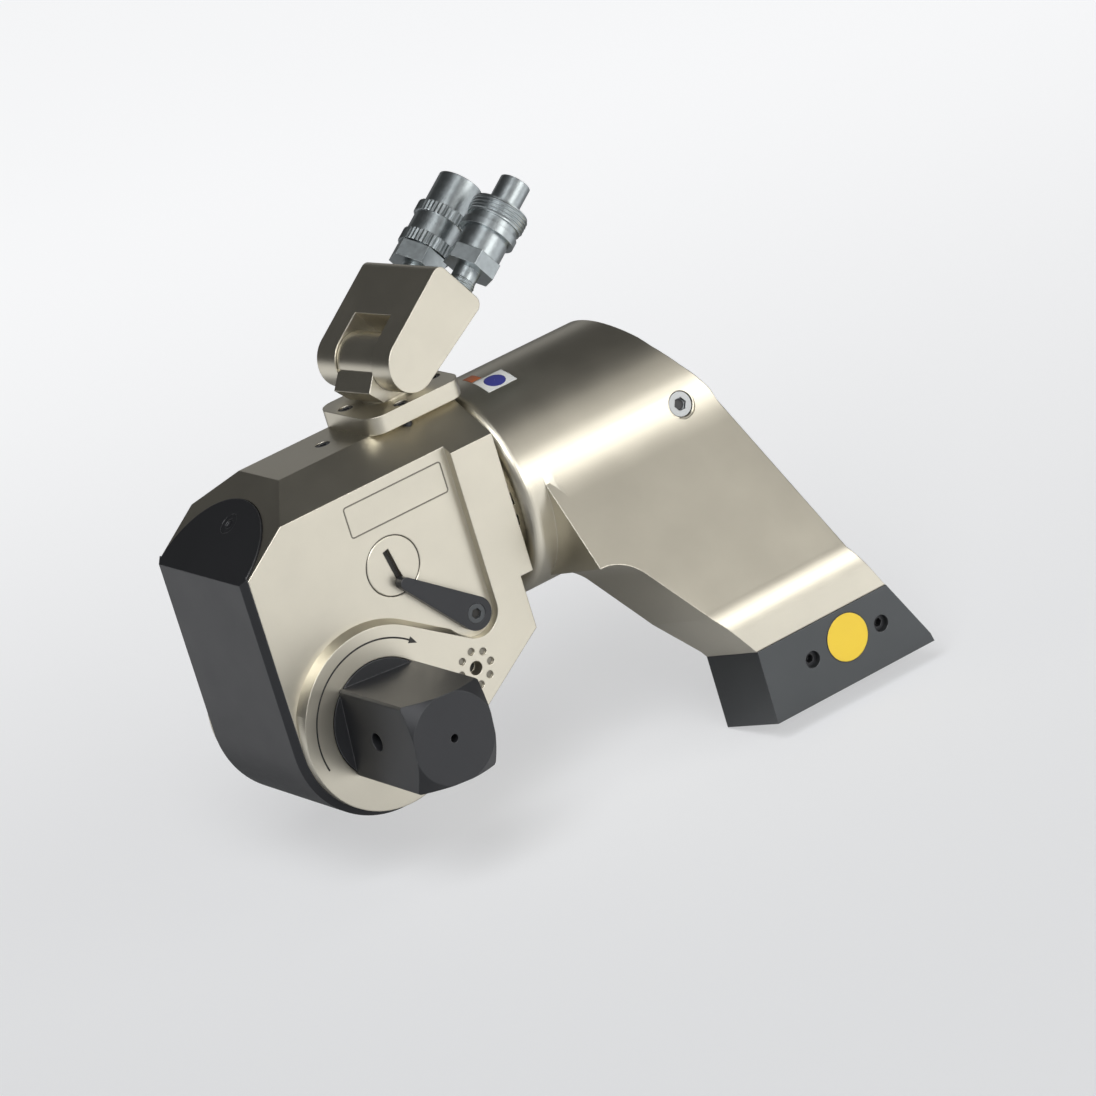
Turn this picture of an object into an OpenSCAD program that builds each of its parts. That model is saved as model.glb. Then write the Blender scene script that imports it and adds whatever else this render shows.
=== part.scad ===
// Square-drive hydraulic torque wrench: ratchet head, splined cylinder, reaction arm and hose swivel.
// The drive axis lies on Y and points to -Y, the cylinder lies along +X, and +Z is up.

/* [Head] */
// Radius of the round belly of the head about the drive axis
head_r = 39; // [37:0.5:44]
// Half width of the head across its recessed side faces
head_half = 36.5; // [35:0.5:42]
// Height of the raised pad on each side face
face_step = 4.5; // [3.5:0.5:6]
// Height of the top flat above the drive axis
head_top = 105.3; // [100:0.5:115]
// Distance from the drive axis to the rear face of the head
head_back = 85.8; // [82:0.5:95]
// Length of the sloping brow along X
brow_w = 37; // [32:0.5:40]
// Height of the sloping brow along Z
brow_h = 26.3; // [22:0.5:30]
// Half width of the top flat between its two bevels
bevel_flat = 16.4; // [14:0.5:20]
// Slope of the bevels beside the top flat
bevel_slope = 0.56; // [0.4:0.02:0.7]
// How far the heel under the cylinder steps in from the rear face
heel_step = 6.4; // [4:0.2:9]
// Height of the underside of the rear face above the drive axis
heel_z = 29; // [26:0.5:32]
// Height of the lower corner of the heel above the drive axis
heel_low = 5.4; // [2:0.2:9]
// Thickness of the black shroud
shroud_t = 3; // [2:0.25:4]
// Radius of the shroud's tongue on the brow
tongue_r = 35; // [28:0.5:36]
// Angle that the shroud wraps round the belly
shroud_wrap = 116; // [95:1:120]
// X place of the rear wall of the recess in the side faces
pad_x = 64.7; // [63.5:0.1:66]

/* [Mechanism] */
// Half width of the mechanism cavity
cavity_half = 20; // [20:0.25:22]
// Tip radius of the ratchet wheel
ratchet_r = 34; // [33.5:0.25:35]
// Depth of the ratchet teeth
ratchet_tooth = 2.6; // [2:0.1:3]
// Number of ratchet teeth
ratchet_teeth = 36; // [30:1:44]
// Half thickness of the ratchet wheel
ratchet_half = 13.4; // [12:0.2:13.6]
// Thickness of each drive plate
plate_t = 5.5; // [4.5:0.1:5.6]
// Outer radius of the drive sleeves that carry the drive plates
sleeve_r = 30; // [29:0.25:31]
// Crank radius from the drive axis to the crank pin
crank_r = 56; // [55:0.25:57]
// Radius of the crank pin
crank_pin_r = 7; // [5.5:0.25:7.5]
// Stroke of the piston
stroke = 24; // [18:1:26]
// X place of the holding pawl's shaft
pawl_x = 54.2; // [53:0.1:55.5]
// Height of the holding pawl's shaft above the drive axis
pawl_z = 23.2; // [22:0.1:24.5]
// Radius of the pawl shaft
shaft_r = 5; // [4.5:0.1:5.4]
// Radius of the holding pawl's boss
pawl_boss_r = 9; // [8.5:0.1:9.4]
// Radius of the lever's boss
lever_r = 7.3; // [6.8:0.1:8]
// Length of the release lever between its two ends
lever_len = 37.3; // [32:0.1:41]
// Direction of the release lever in the side view
lever_angle = 136.3; // [132:0.1:142]
// Radius of the slotted access plug
plug_r = 12.8; // [11:0.1:14]

/* [Square drive] */
// Width across the flats of the square
square_af = 38.1; // [34:0.1:40]
// Distance from the middle of the head to the end of the square
square_end = 94; // [80:1:105]
// Radius to which the corners of the square are turned
corner_r = 26.3; // [24.5:0.1:26.8]
// Radius of the journal behind the square
journal_r = 25.3; // [25:0.1:25.6]
// Radius of the flat end of the square
square_tip_r = 19.5; // [17:0.25:21]
// Length of the cone at the end of the square
tip_cone = 5; // [4:0.5:8]
// Rotation of the square about the drive axis
drive_turn = 5.2; // [0:0.1:10]
// Radius of the cross hole for a socket pin
cross_hole_r = 4; // [3:0.25:5]
// Distance from the middle of the head to the cross hole
cross_hole_d = 64; // [60:0.5:72]

/* [Cylinder] */
// Radius of the cylinder bore
piston_r = 25; // [22:0.25:26]
// Radius of the piston rod
rod_r = 12; // [11:0.25:12.5]
// Root radius of the splined barrel
barrel_r = 36.2; // [35.5:0.1:37]
// Height of the barrel's splines
spline_h = 2; // [1.5:0.1:2.4]
// Number of splines
spline_n = 24; // [20:2:28]
// X place of the rear end of the barrel
barrel_end = 178; // [176:1:190]

/* [Reaction arm] */
// Outer radius of the arm's sleeve
arm_r = 47; // [45:0.25:50]
// Gap between the head and the front of the sleeve
arm_gap = 2.2; // [1.5:0.1:4]
// Radius of the sleeve's rounded front lip
arm_lip = 5.5; // [3:0.25:7]
// Angle of the arm's front plane above the drive direction
arm_slope = 34.5; // [32:0.5:36]
// X place of the rear end of the sleeve
arm_end = 174.7; // [172:0.1:177]
// Reach of the arm's lower facet along the drive direction
arm_reach = 97; // [90:0.5:102]
// Thickness of the foot along the drive direction
foot_t = 41.5; // [34:0.5:44]
// Height of the foot
foot_h = 32.6; // [26:0.2:40]
// Tilt of the foot's top face towards the back
foot_tilt = 12; // [8:0.5:16]
// Depth of the arm below the drive axis, square to the foot's top face
arm_drop = 47; // [40:0.5:54]

/* [Swivel] */
// X place of the swivel axis
swivel_x = 66.2; // [64:0.1:70]
// Thickness of the swivel base plate
base_t = 7.6; // [7.4:0.1:10]
// Half length of the base plate along X
base_l = 24; // [22:0.5:25]
// Half width of the base plate along Y
base_w = 22; // [21:0.5:25]
// Corner radius of the base plate
base_corner = 8; // [3:0.5:9]
// Radius of the yoke's round ears
ear_r = 12.6; // [12.2:0.1:16]
// Half width of the yoke
yoke_half = 24; // [24:0.5:28]
// Length of the yoke from its pivot to its top
yoke_len = 41; // [37:0.5:50]
// How far the yoke's lower side flares towards its top
yoke_flare = 4; // [0:0.25:6]
// Half width of the slot between the ears
slot_half = 12; // [10:0.25:13]
// Lean of the yoke from the vertical
yoke_lean = 57; // [0:1:65]
// Turn of the yoke about the upright swivel axis
yoke_turn = 8; // [0:1:20]
// Half distance between the couplers
coupler_y = 17.5; // [14:0.1:17.6]
// Distance of the couplers from the middle of the yoke towards its lower side
coupler_x = 7; // [0:0.25:8]
// Outer radius of the coupler's knurled collar
collar_r = 12; // [10.5:0.25:12.4]
// Outer radius of the plug coupler's nipple
nipple_r = 6.8; // [5.5:0.1:7.5]
// Length of the nipple beyond its ring
nipple_len = 13; // [9:0.5:16]

/* [Fits] */
// Radial clearance of turning and sliding fits
run = 0.05; // [0.03:0.01:0.09]
// Clearance between parts that only lie beside each other
gap = 0.3; // [0.2:0.05:0.5]

/* [Hidden] */
$fn = 64;
over = 1;
skin = 0.02;
far = 300;
face = head_half + face_step;
brow_z = head_top - brow_h;
brow_angle = atan2(brow_h, brow_w);
heel_x = head_back - heel_step;
heel_turn = atan2(heel_low, heel_x) - acos(head_r / norm([heel_x, heel_low]));
pad_r = pad_x - pawl_x;
pad_turn = atan2(pawl_z, pawl_x) + acos((head_r + pad_r) / norm([pawl_x, pawl_z]));
shroud_screw_in = 9;
shroud_screw_up = 0.62;
shroud_head_r = 4.4;
shroud_head_t = 1.5;
shroud_head_sink = 0.2;
tongue_drop = 1.5;
tongue_in = 2.2;
tongue_root = 2;

cavity_r = ratchet_r + 2.5;
shroud_shank = head_r + shroud_t - shroud_head_sink - shroud_head_t - ratchet_r - 1;
cavity_top = 84;
cavity_back = pad_x + 1.5;
cavity_floor = pawl_z - pawl_boss_r - 3.5;
brow_wall = 12;
lip = 4.5;
lip_r = journal_r + 0.3;
sleeve_end = face - lip - gap;
sleeve_in = ratchet_half + gap;
plate_in = cavity_half - gap - plate_t;
plate_r = ratchet_r + 2;
crank_end_r = crank_pin_r + 4;
cyl_z = crank_r;
crank_turn = 90 - asin(stroke / 2 / crank_r);
crank = crank_r * [cos(crank_turn), sin(crank_turn)];
rod_slot = crank_r * (1 - sin(crank_turn)) + run;
shoe_r = cyl_z - rod_r - 1.5;
shoe_span = 16;
shoe_in = ratchet_r + gap + 0.05;
shoe_pin_r = 2.5;
shoe_half = plate_in - gap;
pawl_half = shoe_half - 0.5;
nose_r = 4.5;
nose_turn = 48;
nose = (shoe_in + nose_r) * [cos(nose_turn), sin(nose_turn)];
pawl = [pawl_x, pawl_z];
shaft_blind = 10;
lever_in = head_half + gap;
lever_t = face_step;
lever_tip_r = 2.7;
lever_tip = pawl + lever_len * [cos(lever_angle), sin(lever_angle)];
lever_hub = 1.5;
lever_web = 1.1;
lever_head_r = 4.2;
lever_head_t = 1.8;
lever_shank_r = 2.5;
plug_at = [26.2, 57];
plug_t = 8;
plug_rim = 0.4;
plug_slot = [3, 15, 2];
plug_slot_turn = 11;
port_x = 30.4;
port_r = 3.2;
rosette = [46.5, 1.5];
rosette_r = 7.5;

drive_spline_n = 12;
drive_spline_h = 1.5;
spline_tip = journal_r - 0.4;
spline_root = spline_tip - drive_spline_h;
rear_journal_r = spline_root - 0.3;
drive_bore_r = 9;
drive_bore_in = ratchet_half + 8;
retainer_r = lip_r + 3.5;
retainer_t = 7;
button_r = 6;
button_out = 3;
button_travel = 2.5;
button_len = 16;

gland_in = head_back;
gland_len = 18;
gland_r = rod_r + 5;
bore_in = gland_in + gland_len;
cap_len = 14;
cap_r = piston_r + 3;
bore_out = barrel_end - cap_len;
piston_t = 24;
piston_out = bore_out - 2;
piston_in = piston_out - piston_t;
spigot_r = 8;
nut_t = 7;
nut_r = 11.5;
seal_w = 5;
seal_d = 2.5;
barrel_chamfer = 5;
spline_half = 90 / spline_n - 0.15;
spline_fit = 0.35;
lock_turn = 14;
spline_phase = lock_turn + 180 / spline_n;

arm_front = head_back + arm_gap;
arm_sink = 4.7;
arm_plane = arm_r - arm_sink + cyl_z * sin(arm_slope);
facet_z = (arm_plane - arm_reach * cos(arm_slope)) / sin(arm_slope);
facet_r = 25;
facet_at = [arm_reach - facet_r, facet_z - facet_r * tan(arm_slope / 2)];
blend_r = 30;
blend_turn = arm_slope - acos((arm_r - arm_sink + blend_r) / (arm_r + blend_r));
blend_at = [0, cyl_z] + (arm_r + blend_r) * [cos(blend_turn), sin(blend_turn)];
blend_end = blend_at - blend_r * [cos(arm_slope), sin(arm_slope)];
arm_left = arm_front + 12;
hook_at = [100.8, -6];
hook_r = 18;
hook_turn = 27.6;
hook_bend = [131, -25.4];
foot_left = 145.5;
foot_right = 214.8;
foot_toe = 230.5;
rear_line = [[-10.7, 110], [0, 88], [1.8, 83], [4.8, 77], [7.8, 71], [11.3, 65], [15, 57], [29.1, -24.6]];
near_side = 20;
slab_back = [[22, 18], -33];
tenon = [46, 18, 15];
tenon_x = 163;
tenon_wall = 10;
tenon_low = -arm_drop - tenon[2];
tenon_front = (arm_reach - tenon_wall + sin(foot_tilt) * tenon_low) / cos(foot_tilt);
foot_screw_r = 3.6;
foot_screw_x = [170.2, 207.3];
foot_screw_z = -42;
foot_screw_sink = 2;
lock_x = 174;
lock_head_r = 5.4;
lock_head_t = 3;
lock_seat = arm_r - lock_head_t - 0.5;
lock_shank_r = 4;
lock_tip_r = 1.8;

base_x = swivel_x + 1.1;
ear_clear = 2.9;
plate_top = head_top + base_t;
pivot_z = plate_top + ear_r + ear_clear;
neck_r = 11;
stem_r = 9;
stem_in = 92.5;
flange_r = 14;
flange_t = 3.4;
tongue_half = slot_half - gap;
tongue_top_r = ear_r - 0.9;
tongue_flare = 17;
slot_depth = 14.5;
base_screw_r = 3.2;
base_screw_ring = 19.5;
base_screw_turn = 162;
pin_r = 6;
pin_wall = 4;
port_thread_r = 5.5;
port_depth = 8;
plug_seat = 16;
plug_body_end = 36;
nipple_wall = 3.2;
socket_lift = 7;
plug_lift = 4;

// A flat shape in the X-Z plane, thick from d0 to d1 towards the drive side
module side(d0, d1) {
    translate([0, -d0, 0]) rotate([90, 0, 0]) linear_extrude(d1 - d0) children();
}

// A flat shape across X, drawn as drive direction and height, from x0 to x1
module section(x0, x1) {
    translate([x1, 0, 0]) rotate([90, 0, -90]) linear_extrude(x1 - x0) children();
}

// A round bar along the drive direction
module bar_y(at, d0, d1, r) {
    translate([at[0], -d0, at[1]]) rotate([90, 0, 0]) cylinder(h = d1 - d0, r = r);
}

// A round bar on the cylinder axis
module bar_x(x0, x1, r) {
    translate([x0, 0, cyl_z]) rotate([0, 90, 0]) cylinder(h = x1 - x0, r = r);
}

// A round upright bar
module bar_z(at, z0, z1, r) {
    translate([at[0], at[1], z0]) cylinder(h = z1 - z0, r = r);
}

// Two round ends joined by a web along their outer tangents, set in by a skin so that the faces cross
module link(d0, d1, p, pr, q, qr) {
    run_at = atan2(q[1] - p[1], q[0] - p[0]);
    lean = acos((pr - qr) / norm(q - p));
    up = [cos(run_at + lean), sin(run_at + lean)];
    down = [cos(run_at - lean), sin(run_at - lean)];
    bar_y(p, d0, d1, pr);
    bar_y(q, d0, d1, qr);
    side(d0, d1) {
        polygon([p + (pr - skin) * up, q + (qr - skin) * up, q, q + (qr - skin) * down,
            p + (pr - skin) * down, p]);
    }
}

// A rectangle with round corners, centred
module round_plate(half_l, half_w, r) {
    square([2 * half_l, 2 * half_w - 2 * r], center = true);
    square([2 * half_l - 2 * r, 2 * half_w], center = true);
    for (sx = [-1, 1], sy = [-1, 1]) {
        translate([sx * (half_l - r), sy * (half_w - r)]) circle(r = r);
    }
}

// Straight-sided splines: a ring of teeth from r_in to r_out
module spline_ring(n, r_in, r_out, half, phase) {
    polygon([for (i = [0:n - 1], k = [0:3])
        let (a = phase + i * 360 / n + (k < 2 ? -half : half), r = k == 0 || k == 3 ? r_in : r_out)
        r * [cos(a), sin(a)]]);
}

// Saw teeth: each rises slowly from the root and drops sharply from the tip
module saw_teeth(n, root, tip) {
    polygon([for (i = [0:n - 1], k = [0:1])
        let (a = (i + (k == 0 ? 0 : 0.12)) * 360 / n)
        (k == 0 ? tip : root) * [cos(a), sin(a)]]);
}

// A coil of round wire about Z, from z = 0 upwards
module coil(r, wire, turns, pitch) {
    steps = 16;
    edges = 8;
    count = round(turns * steps);
    points = [for (i = [0:count], j = [0:edges - 1])
        let (a = i * 360 / steps, b = j * 360 / edges, q = r + wire * cos(b))
        [q * cos(a), q * sin(a), i * pitch / steps + wire * sin(b)]];
    walls = [for (i = [0:count - 1], j = [0:edges - 1])
        let (k = (j + 1) % edges, n = edges)
        [i * n + j, (i + 1) * n + j, (i + 1) * n + k, i * n + k]];
    first = [for (j = [0:edges - 1]) j];
    last = [for (j = [0:edges - 1]) count * edges + edges - 1 - j];
    polyhedron(points, concat([first], walls, [last]), convexity = 10);
}

// A screw head and shank about Z: the head's top is at z = 0, with a hexagon socket in it
module cap_screw(head_r, head_t, shank_r, shank_len) {
    difference() {
        union() {
            translate([0, 0, -head_t]) cylinder(h = head_t, r = head_r);
            translate([0, 0, -head_t - shank_len]) cylinder(h = shank_len + over, r = shank_r);
        }
        translate([0, 0, -head_t * 0.6]) cylinder(h = head_t, r = head_r * 0.55, $fn = 6);
    }
}

// The head before any cut: a flat-sided outline and the round belly, which crosses it by a skin
module head_block() {
    side(-face, face) polygon([[-head_r, 0], [-head_r, brow_z], [-head_r + brow_w, head_top],
        [head_back, head_top], [head_back, heel_z], [heel_x, heel_z], [heel_x, heel_low],
        head_r * [cos(heel_turn), sin(heel_turn)]]);
    bar_y([0, 0], -face, face, head_r + skin);
}

// Outline of the recess in each side face, round the boss of the lever
module recess_outline() {
    toward = [cos(pad_turn), sin(pad_turn)];
    difference() {
        union() {
            polygon([[-far, far], [pad_x, far], [pad_x, pawl_z], pawl, pawl - pad_r * toward,
                head_r * toward, [0, 0], [-far, 0]]);
            translate(pawl) circle(r = pad_r + skin);
        }
        circle(r = head_r + skin);
    }
}

// Side outline of the mechanism cavity, open to the nose and the belly
module cavity_outline() {
    tan_brow = brow_h / brow_w;
    wall_drop = brow_wall / cos(brow_angle);
    at_top = -head_r + (cavity_top - brow_z + wall_drop) / tan_brow;
    at_nose = brow_z - wall_drop - head_r * tan_brow;
    polygon([[-2 * head_r, at_nose], [at_top, cavity_top], [cavity_back, cavity_top],
        [cavity_back, cavity_floor], [0, cavity_floor], [0, -2 * head_r], [-2 * head_r, -2 * head_r]]);
    circle(r = cavity_r);
}

module bevel_cut() {
    reach = 2 * face;
    section(-2 * head_r, head_back + over) {
        polygon([[bevel_flat, head_top], [reach, head_top - bevel_slope * (reach - bevel_flat)],
            [reach, head_top + reach], [bevel_flat, head_top + reach]]);
    }
}

// Frame on the brow: X up the slope, Z out of it
module on_brow() {
    translate([-head_r, 0, brow_z]) rotate([0, -brow_angle, 0]) children();
}

// Places of the shroud's two screws, Z pointing out of the shroud
module shroud_screw_places() {
    on_brow() translate([tongue_r * shroud_screw_up, 0, -tongue_in]) children();
    rotate([0, 270 - shroud_wrap + shroud_screw_in, 0]) translate([0, 0, head_r]) children();
}

module barrel() {
    difference() {
        union() {
            bar_x(heel_x - 2, barrel_end - barrel_chamfer, barrel_r);
            translate([barrel_end - barrel_chamfer, 0, cyl_z]) rotate([0, 90, 0]) {
                cylinder(h = barrel_chamfer, r1 = barrel_r, r2 = barrel_r - barrel_chamfer);
            }
            translate([0, 0, cyl_z]) section(arm_left, barrel_end - barrel_chamfer) {
                spline_ring(spline_n, barrel_r - over, barrel_r + spline_h, spline_half, spline_phase);
            }
        }
        bar_x(bore_in, barrel_end + over, piston_r);
        bar_x(bore_out, barrel_end + over, cap_r);
    }
}

module housing() color([0.78, 0.75, 0.69]) {
    difference() {
        union() {
            head_block();
            barrel();
        }
        side(head_half, face + over) recess_outline();
        side(-face - over, -head_half) recess_outline();
        bevel_cut();
        mirror([0, 1, 0]) bevel_cut();
        side(-cavity_half, cavity_half) cavity_outline();
        bar_y([0, 0], -sleeve_end, sleeve_end, sleeve_r);
        bar_y([0, 0], -face - over, face + over, lip_r);
        bar_y(pawl, -cavity_half - shaft_blind, head_half + over, shaft_r + run);
        bar_y(plug_at, head_half - plug_t, head_half + over, plug_r + run);
        bar_y(plug_at, 0, head_half, plug_r - 2.5);
        translate([plug_at[0], -head_half + plug_rim, plug_at[1]]) rotate([90, 0, 0]) {
            cylinder(h = 2 * plug_rim, r1 = plug_r + run - skin, r2 = plug_r + 2 * plug_rim);
        }
        bar_z([port_x, 0], head_top - 8, head_top + over, port_r + run);
        bar_x(cavity_back - over, bore_in, rod_r + 1);
        bar_x(gland_in, bore_in + over, gland_r);
        bar_z([swivel_x, 0], stem_in - gap, head_top + over, stem_r + run);
        shroud_screw_places() translate([0, 0, -9]) cylinder(h = 12, r = 2.5);
        on_brow() translate([-tongue_drop, 0, -tongue_in]) cylinder(h = far, r = tongue_r + gap);
        for (i = [0:8]) {
            spot = i == 0 ? [0, 0] : rosette_r * [cos(45 * i), sin(45 * i)];
            bar_y(rosette + spot, face - (i == 0 ? 6 : 1), face + over, i == 0 ? 3 : 1.65);
        }
        for (i = [0:3]) {
            bar_z(base_screw_at(i), head_top - 10, head_top + over, base_screw_r - 1);
        }
    }
}

module shroud() color([0.16, 0.16, 0.17]) {
    out_r = head_r + shroud_t;
    in_r = head_r + run;
    rim = head_half - shroud_t;
    difference() {
        union() {
            difference() {
                linear_extrude(brow_z + shroud_t) {
                    polygon([[-in_r, -head_half], [-out_r, -rim], [-out_r, rim], [-in_r, head_half]]);
                }
                on_brow() translate([-far / 2, -far / 2, shroud_t - tongue_in]) cube(far);
            }
            rotate([90, 0, 0]) rotate([0, 0, 180]) rotate_extrude(angle = shroud_wrap) {
                polygon([[in_r, -head_half], [out_r, -rim], [out_r, rim], [in_r, head_half]]);
            }
            on_brow() translate([0, 0, run - tongue_in]) intersection() {
                translate([-tongue_drop, 0, 0]) cylinder(h = shroud_t - run, r = tongue_r);
                translate([0, -far / 2, -over]) cube(far);
            }
            on_brow() translate([-tongue_root, -rim, run - tongue_in]) {
                cube([tongue_root + over, 2 * rim, shroud_t - run]);
            }
        }
        shroud_screw_places() {
            translate([0, 0, -over]) cylinder(h = shroud_t + 2 * over, r = 2.7);
            translate([0, 0, shroud_t - shroud_head_t - 0.3]) {
                cylinder(h = shroud_t, r = shroud_head_r + 0.2);
            }
        }
    }
}

module shroud_screws() color([0.2, 0.2, 0.21]) {
    shroud_screw_places() translate([0, 0, shroud_t - shroud_head_sink]) {
        cap_screw(shroud_head_r, shroud_head_t, 2.4, shroud_shank);
    }
}

module access_plug() color([0.76, 0.74, 0.69]) {
    difference() {
        translate([plug_at[0], 0, plug_at[1]]) rotate([90, 0, 0]) rotate_extrude() {
            polygon([[0, head_half - plug_t], [plug_r, head_half - plug_t],
                [plug_r, head_half - plug_rim], [plug_r - plug_rim, head_half], [0, head_half]]);
        }
        translate([plug_at[0], -head_half, plug_at[1]]) rotate([0, -plug_slot_turn, 0]) {
            cube([plug_slot[0], 2 * plug_slot[2], plug_slot[1]], center = true);
        }
    }
}

module top_port_plug() color([0.3, 0.3, 0.3]) {
    translate([port_x, 0, head_top - 0.3]) cap_screw(port_r, 5, port_r - 1, 2);
}

module drive_sleeve(bore) {
    difference() {
        bar_y([0, 0], sleeve_in, sleeve_end - gap, sleeve_r - run);
        bar_y([0, 0], sleeve_in - over, sleeve_end + over, bore);
    }
}

module drive_sleeve_front() color([0.72, 0.56, 0.3]) drive_sleeve(journal_r + run);

module drive_sleeve_rear() color([0.72, 0.56, 0.3]) {
    mirror([0, 1, 0]) drive_sleeve(rear_journal_r + run);
}

module ratchet_wheel() color([0.45, 0.45, 0.47]) {
    rotate([0, drive_turn, 0]) side(-ratchet_half, ratchet_half) difference() {
        saw_teeth(ratchet_teeth, ratchet_r - ratchet_tooth, ratchet_r);
        circle(r = spline_root + run);
        spline_ring(drive_spline_n, spline_root - over, spline_tip + run, 8, 0);
    }
}

module drive_plate() {
    difference() {
        link(plate_in, plate_in + plate_t, [0, 0], plate_r, crank, crank_end_r);
        bar_y([0, 0], 0, cavity_half, sleeve_r + run);
        bar_y(crank, 0, cavity_half, crank_pin_r + run);
        shoe_pin_places() bar_y([0, 0], 0, cavity_half, shoe_pin_r + run);
    }
}

module shoe_pin_places() {
    for (s = [-1, 1]) {
        a = crank_turn + s * shoe_span * 0.62;
        r = (shoe_in + ratchet_tooth + shoe_r) / 2;
        translate([r * cos(a), 0, r * sin(a)]) children();
    }
}

module drive_plates() color([0.5, 0.5, 0.52]) {
    drive_plate();
    mirror([0, 1, 0]) drive_plate();
}

module drive_pawl() color([0.42, 0.42, 0.44]) {
    wedge = 2 * shoe_r;
    difference() {
        side(-shoe_half, shoe_half) intersection() {
            difference() {
                circle(r = shoe_r);
                saw_teeth(ratchet_teeth, shoe_in, shoe_in + ratchet_tooth);
            }
            polygon([[0, 0], wedge * [cos(crank_turn - shoe_span), sin(crank_turn - shoe_span)],
                wedge * [cos(crank_turn + shoe_span), sin(crank_turn + shoe_span)]]);
        }
        shoe_pin_places() bar_y([0, 0], -cavity_half, cavity_half, shoe_pin_r + run);
    }
}

module drive_pawl_pins() color([0.7, 0.7, 0.72]) {
    shoe_pin_places() bar_y([0, 0], -plate_in - plate_t, plate_in + plate_t, shoe_pin_r);
}

module crank_pin() color([0.7, 0.7, 0.72]) {
    bar_y(crank, -plate_in - plate_t, plate_in + plate_t, crank_pin_r);
}

module piston_rod() color([0.82, 0.82, 0.84]) {
    slot_r = crank_pin_r + 3 * run;
    difference() {
        union() {
            bar_x(crank[0] - rod_r - 1, piston_in, rod_r);
            bar_x(piston_in - over, piston_out - over, spigot_r);
        }
        side(-2 * rod_r, 2 * rod_r) {
            translate([crank[0], crank[1]]) circle(r = slot_r);
            translate([crank[0], crank_r + rod_slot]) circle(r = slot_r);
            translate([crank[0] - slot_r, crank[1]]) {
                square([2 * slot_r, crank_r + rod_slot - crank[1]]);
            }
        }
    }
}

module piston() color([0.62, 0.62, 0.64]) {
    groove = piston_in + piston_t / 2 - seal_w / 2;
    difference() {
        bar_x(piston_in + run, piston_out, piston_r - run);
        bar_x(piston_in - over, piston_out + over, spigot_r + run);
        bar_x(piston_out - nut_t - over, piston_out + over, nut_r + 1);
        difference() {
            bar_x(groove, groove + seal_w, piston_r + over);
            bar_x(groove - over, groove + seal_w + over, piston_r - seal_d);
        }
    }
}

module ring_x(x0, x1, r_in, r_out) {
    difference() {
        bar_x(x0, x1, r_out);
        bar_x(x0 - over, x1 + over, r_in);
    }
}

module piston_seal() color([0.12, 0.12, 0.12]) {
    groove = piston_in + piston_t / 2 - seal_w / 2;
    ring_x(groove + run, groove + seal_w - run, piston_r - seal_d + run, piston_r - run / 2);
}

module piston_nut() color([0.4, 0.4, 0.42]) {
    difference() {
        translate([piston_out - nut_t - over + run, 0, cyl_z]) rotate([0, 90, 0]) {
            cylinder(h = nut_t, r = nut_r, $fn = 6);
        }
        bar_x(piston_in, piston_out + over, spigot_r + run);
    }
}

module rod_gland() color([0.72, 0.56, 0.3]) {
    difference() {
        ring_x(gland_in + run, bore_in, rod_r + run, gland_r - run);
        ring_x(gland_in + gland_len / 2, gland_in + gland_len / 2 + seal_w, rod_r - over, rod_r + seal_d);
    }
}

module rod_seal() color([0.12, 0.12, 0.12]) {
    seat = gland_in + gland_len / 2;
    ring_x(seat + run, seat + seal_w - run, rod_r + run, rod_r + seal_d - run);
}

module end_cap() color([0.3, 0.3, 0.32]) {
    seat = bore_out + 3;
    difference() {
        bar_x(bore_out + run, barrel_end - over, cap_r - run);
        ring_x(seat, seat + seal_w, cap_r - seal_d, cap_r + over);
        for (s = [-1, 1]) {
            translate([barrel_end - 7, s * cap_r / 2, cyl_z]) rotate([0, 90, 0]) cylinder(h = 10, r = 3);
        }
    }
}

module end_cap_seal() color([0.12, 0.12, 0.12]) {
    seat = bore_out + 3;
    ring_x(seat + run, seat + seal_w - run, cap_r - seal_d + run, cap_r - run);
}

// Frame of the foot: the drive direction is tilted so that the foot's faces lie square in it
module foot_frame() {
    rotate([-foot_tilt, 0, 0]) children();
}

// What the arm's rear leaves in the foot's frame: an upright end, a sloping back and a flared tail
module rear_block() {
    foot_frame() side(-far, far) polygon(concat(
        [[arm_front - over, far], [arm_end + rear_line[0][0], far]],
        [for (p = rear_line) [arm_end + p[0], p[1]]],
        [[foot_right, -arm_drop], [arm_front - over, -arm_drop]]));
}

// What the arm's hooked front edge leaves free, in the foot's frame
module hook_block() {
    toward = [cos(hook_turn), sin(hook_turn)];
    inner = hook_r - skin;
    foot_frame() {
        side(-far, far) polygon([[0, hook_at[1] + inner], hook_at + [0, inner], hook_at,
            hook_at + inner * toward, hook_bend, [foot_left, -arm_drop], [foot_left, -far], [0, -far]]);
        bar_y(hook_at, -far, far, hook_r);
    }
}

// The arm's sleeve about the cylinder axis, with a rounded front lip
module arm_sleeve() {
    steps = 8;
    lip_arc = [for (i = [0:steps]) let (a = 90 * i / steps)
        [arm_r - arm_lip * (1 - sin(a)), arm_lip * (1 - cos(a))]];
    translate([arm_front, 0, cyl_z]) rotate([0, 90, 0]) rotate_extrude() {
        polygon(concat([[0, 0]], lip_arc, [[arm_r, far], [0, far]]));
    }
}

// A round bar along X, placed by drive direction and height
module rail(at, x0, x1, r) {
    translate([x0, -at[0], at[1]]) rotate([0, 90, 0]) cylinder(h = x1 - x0, r = r);
}

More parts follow.
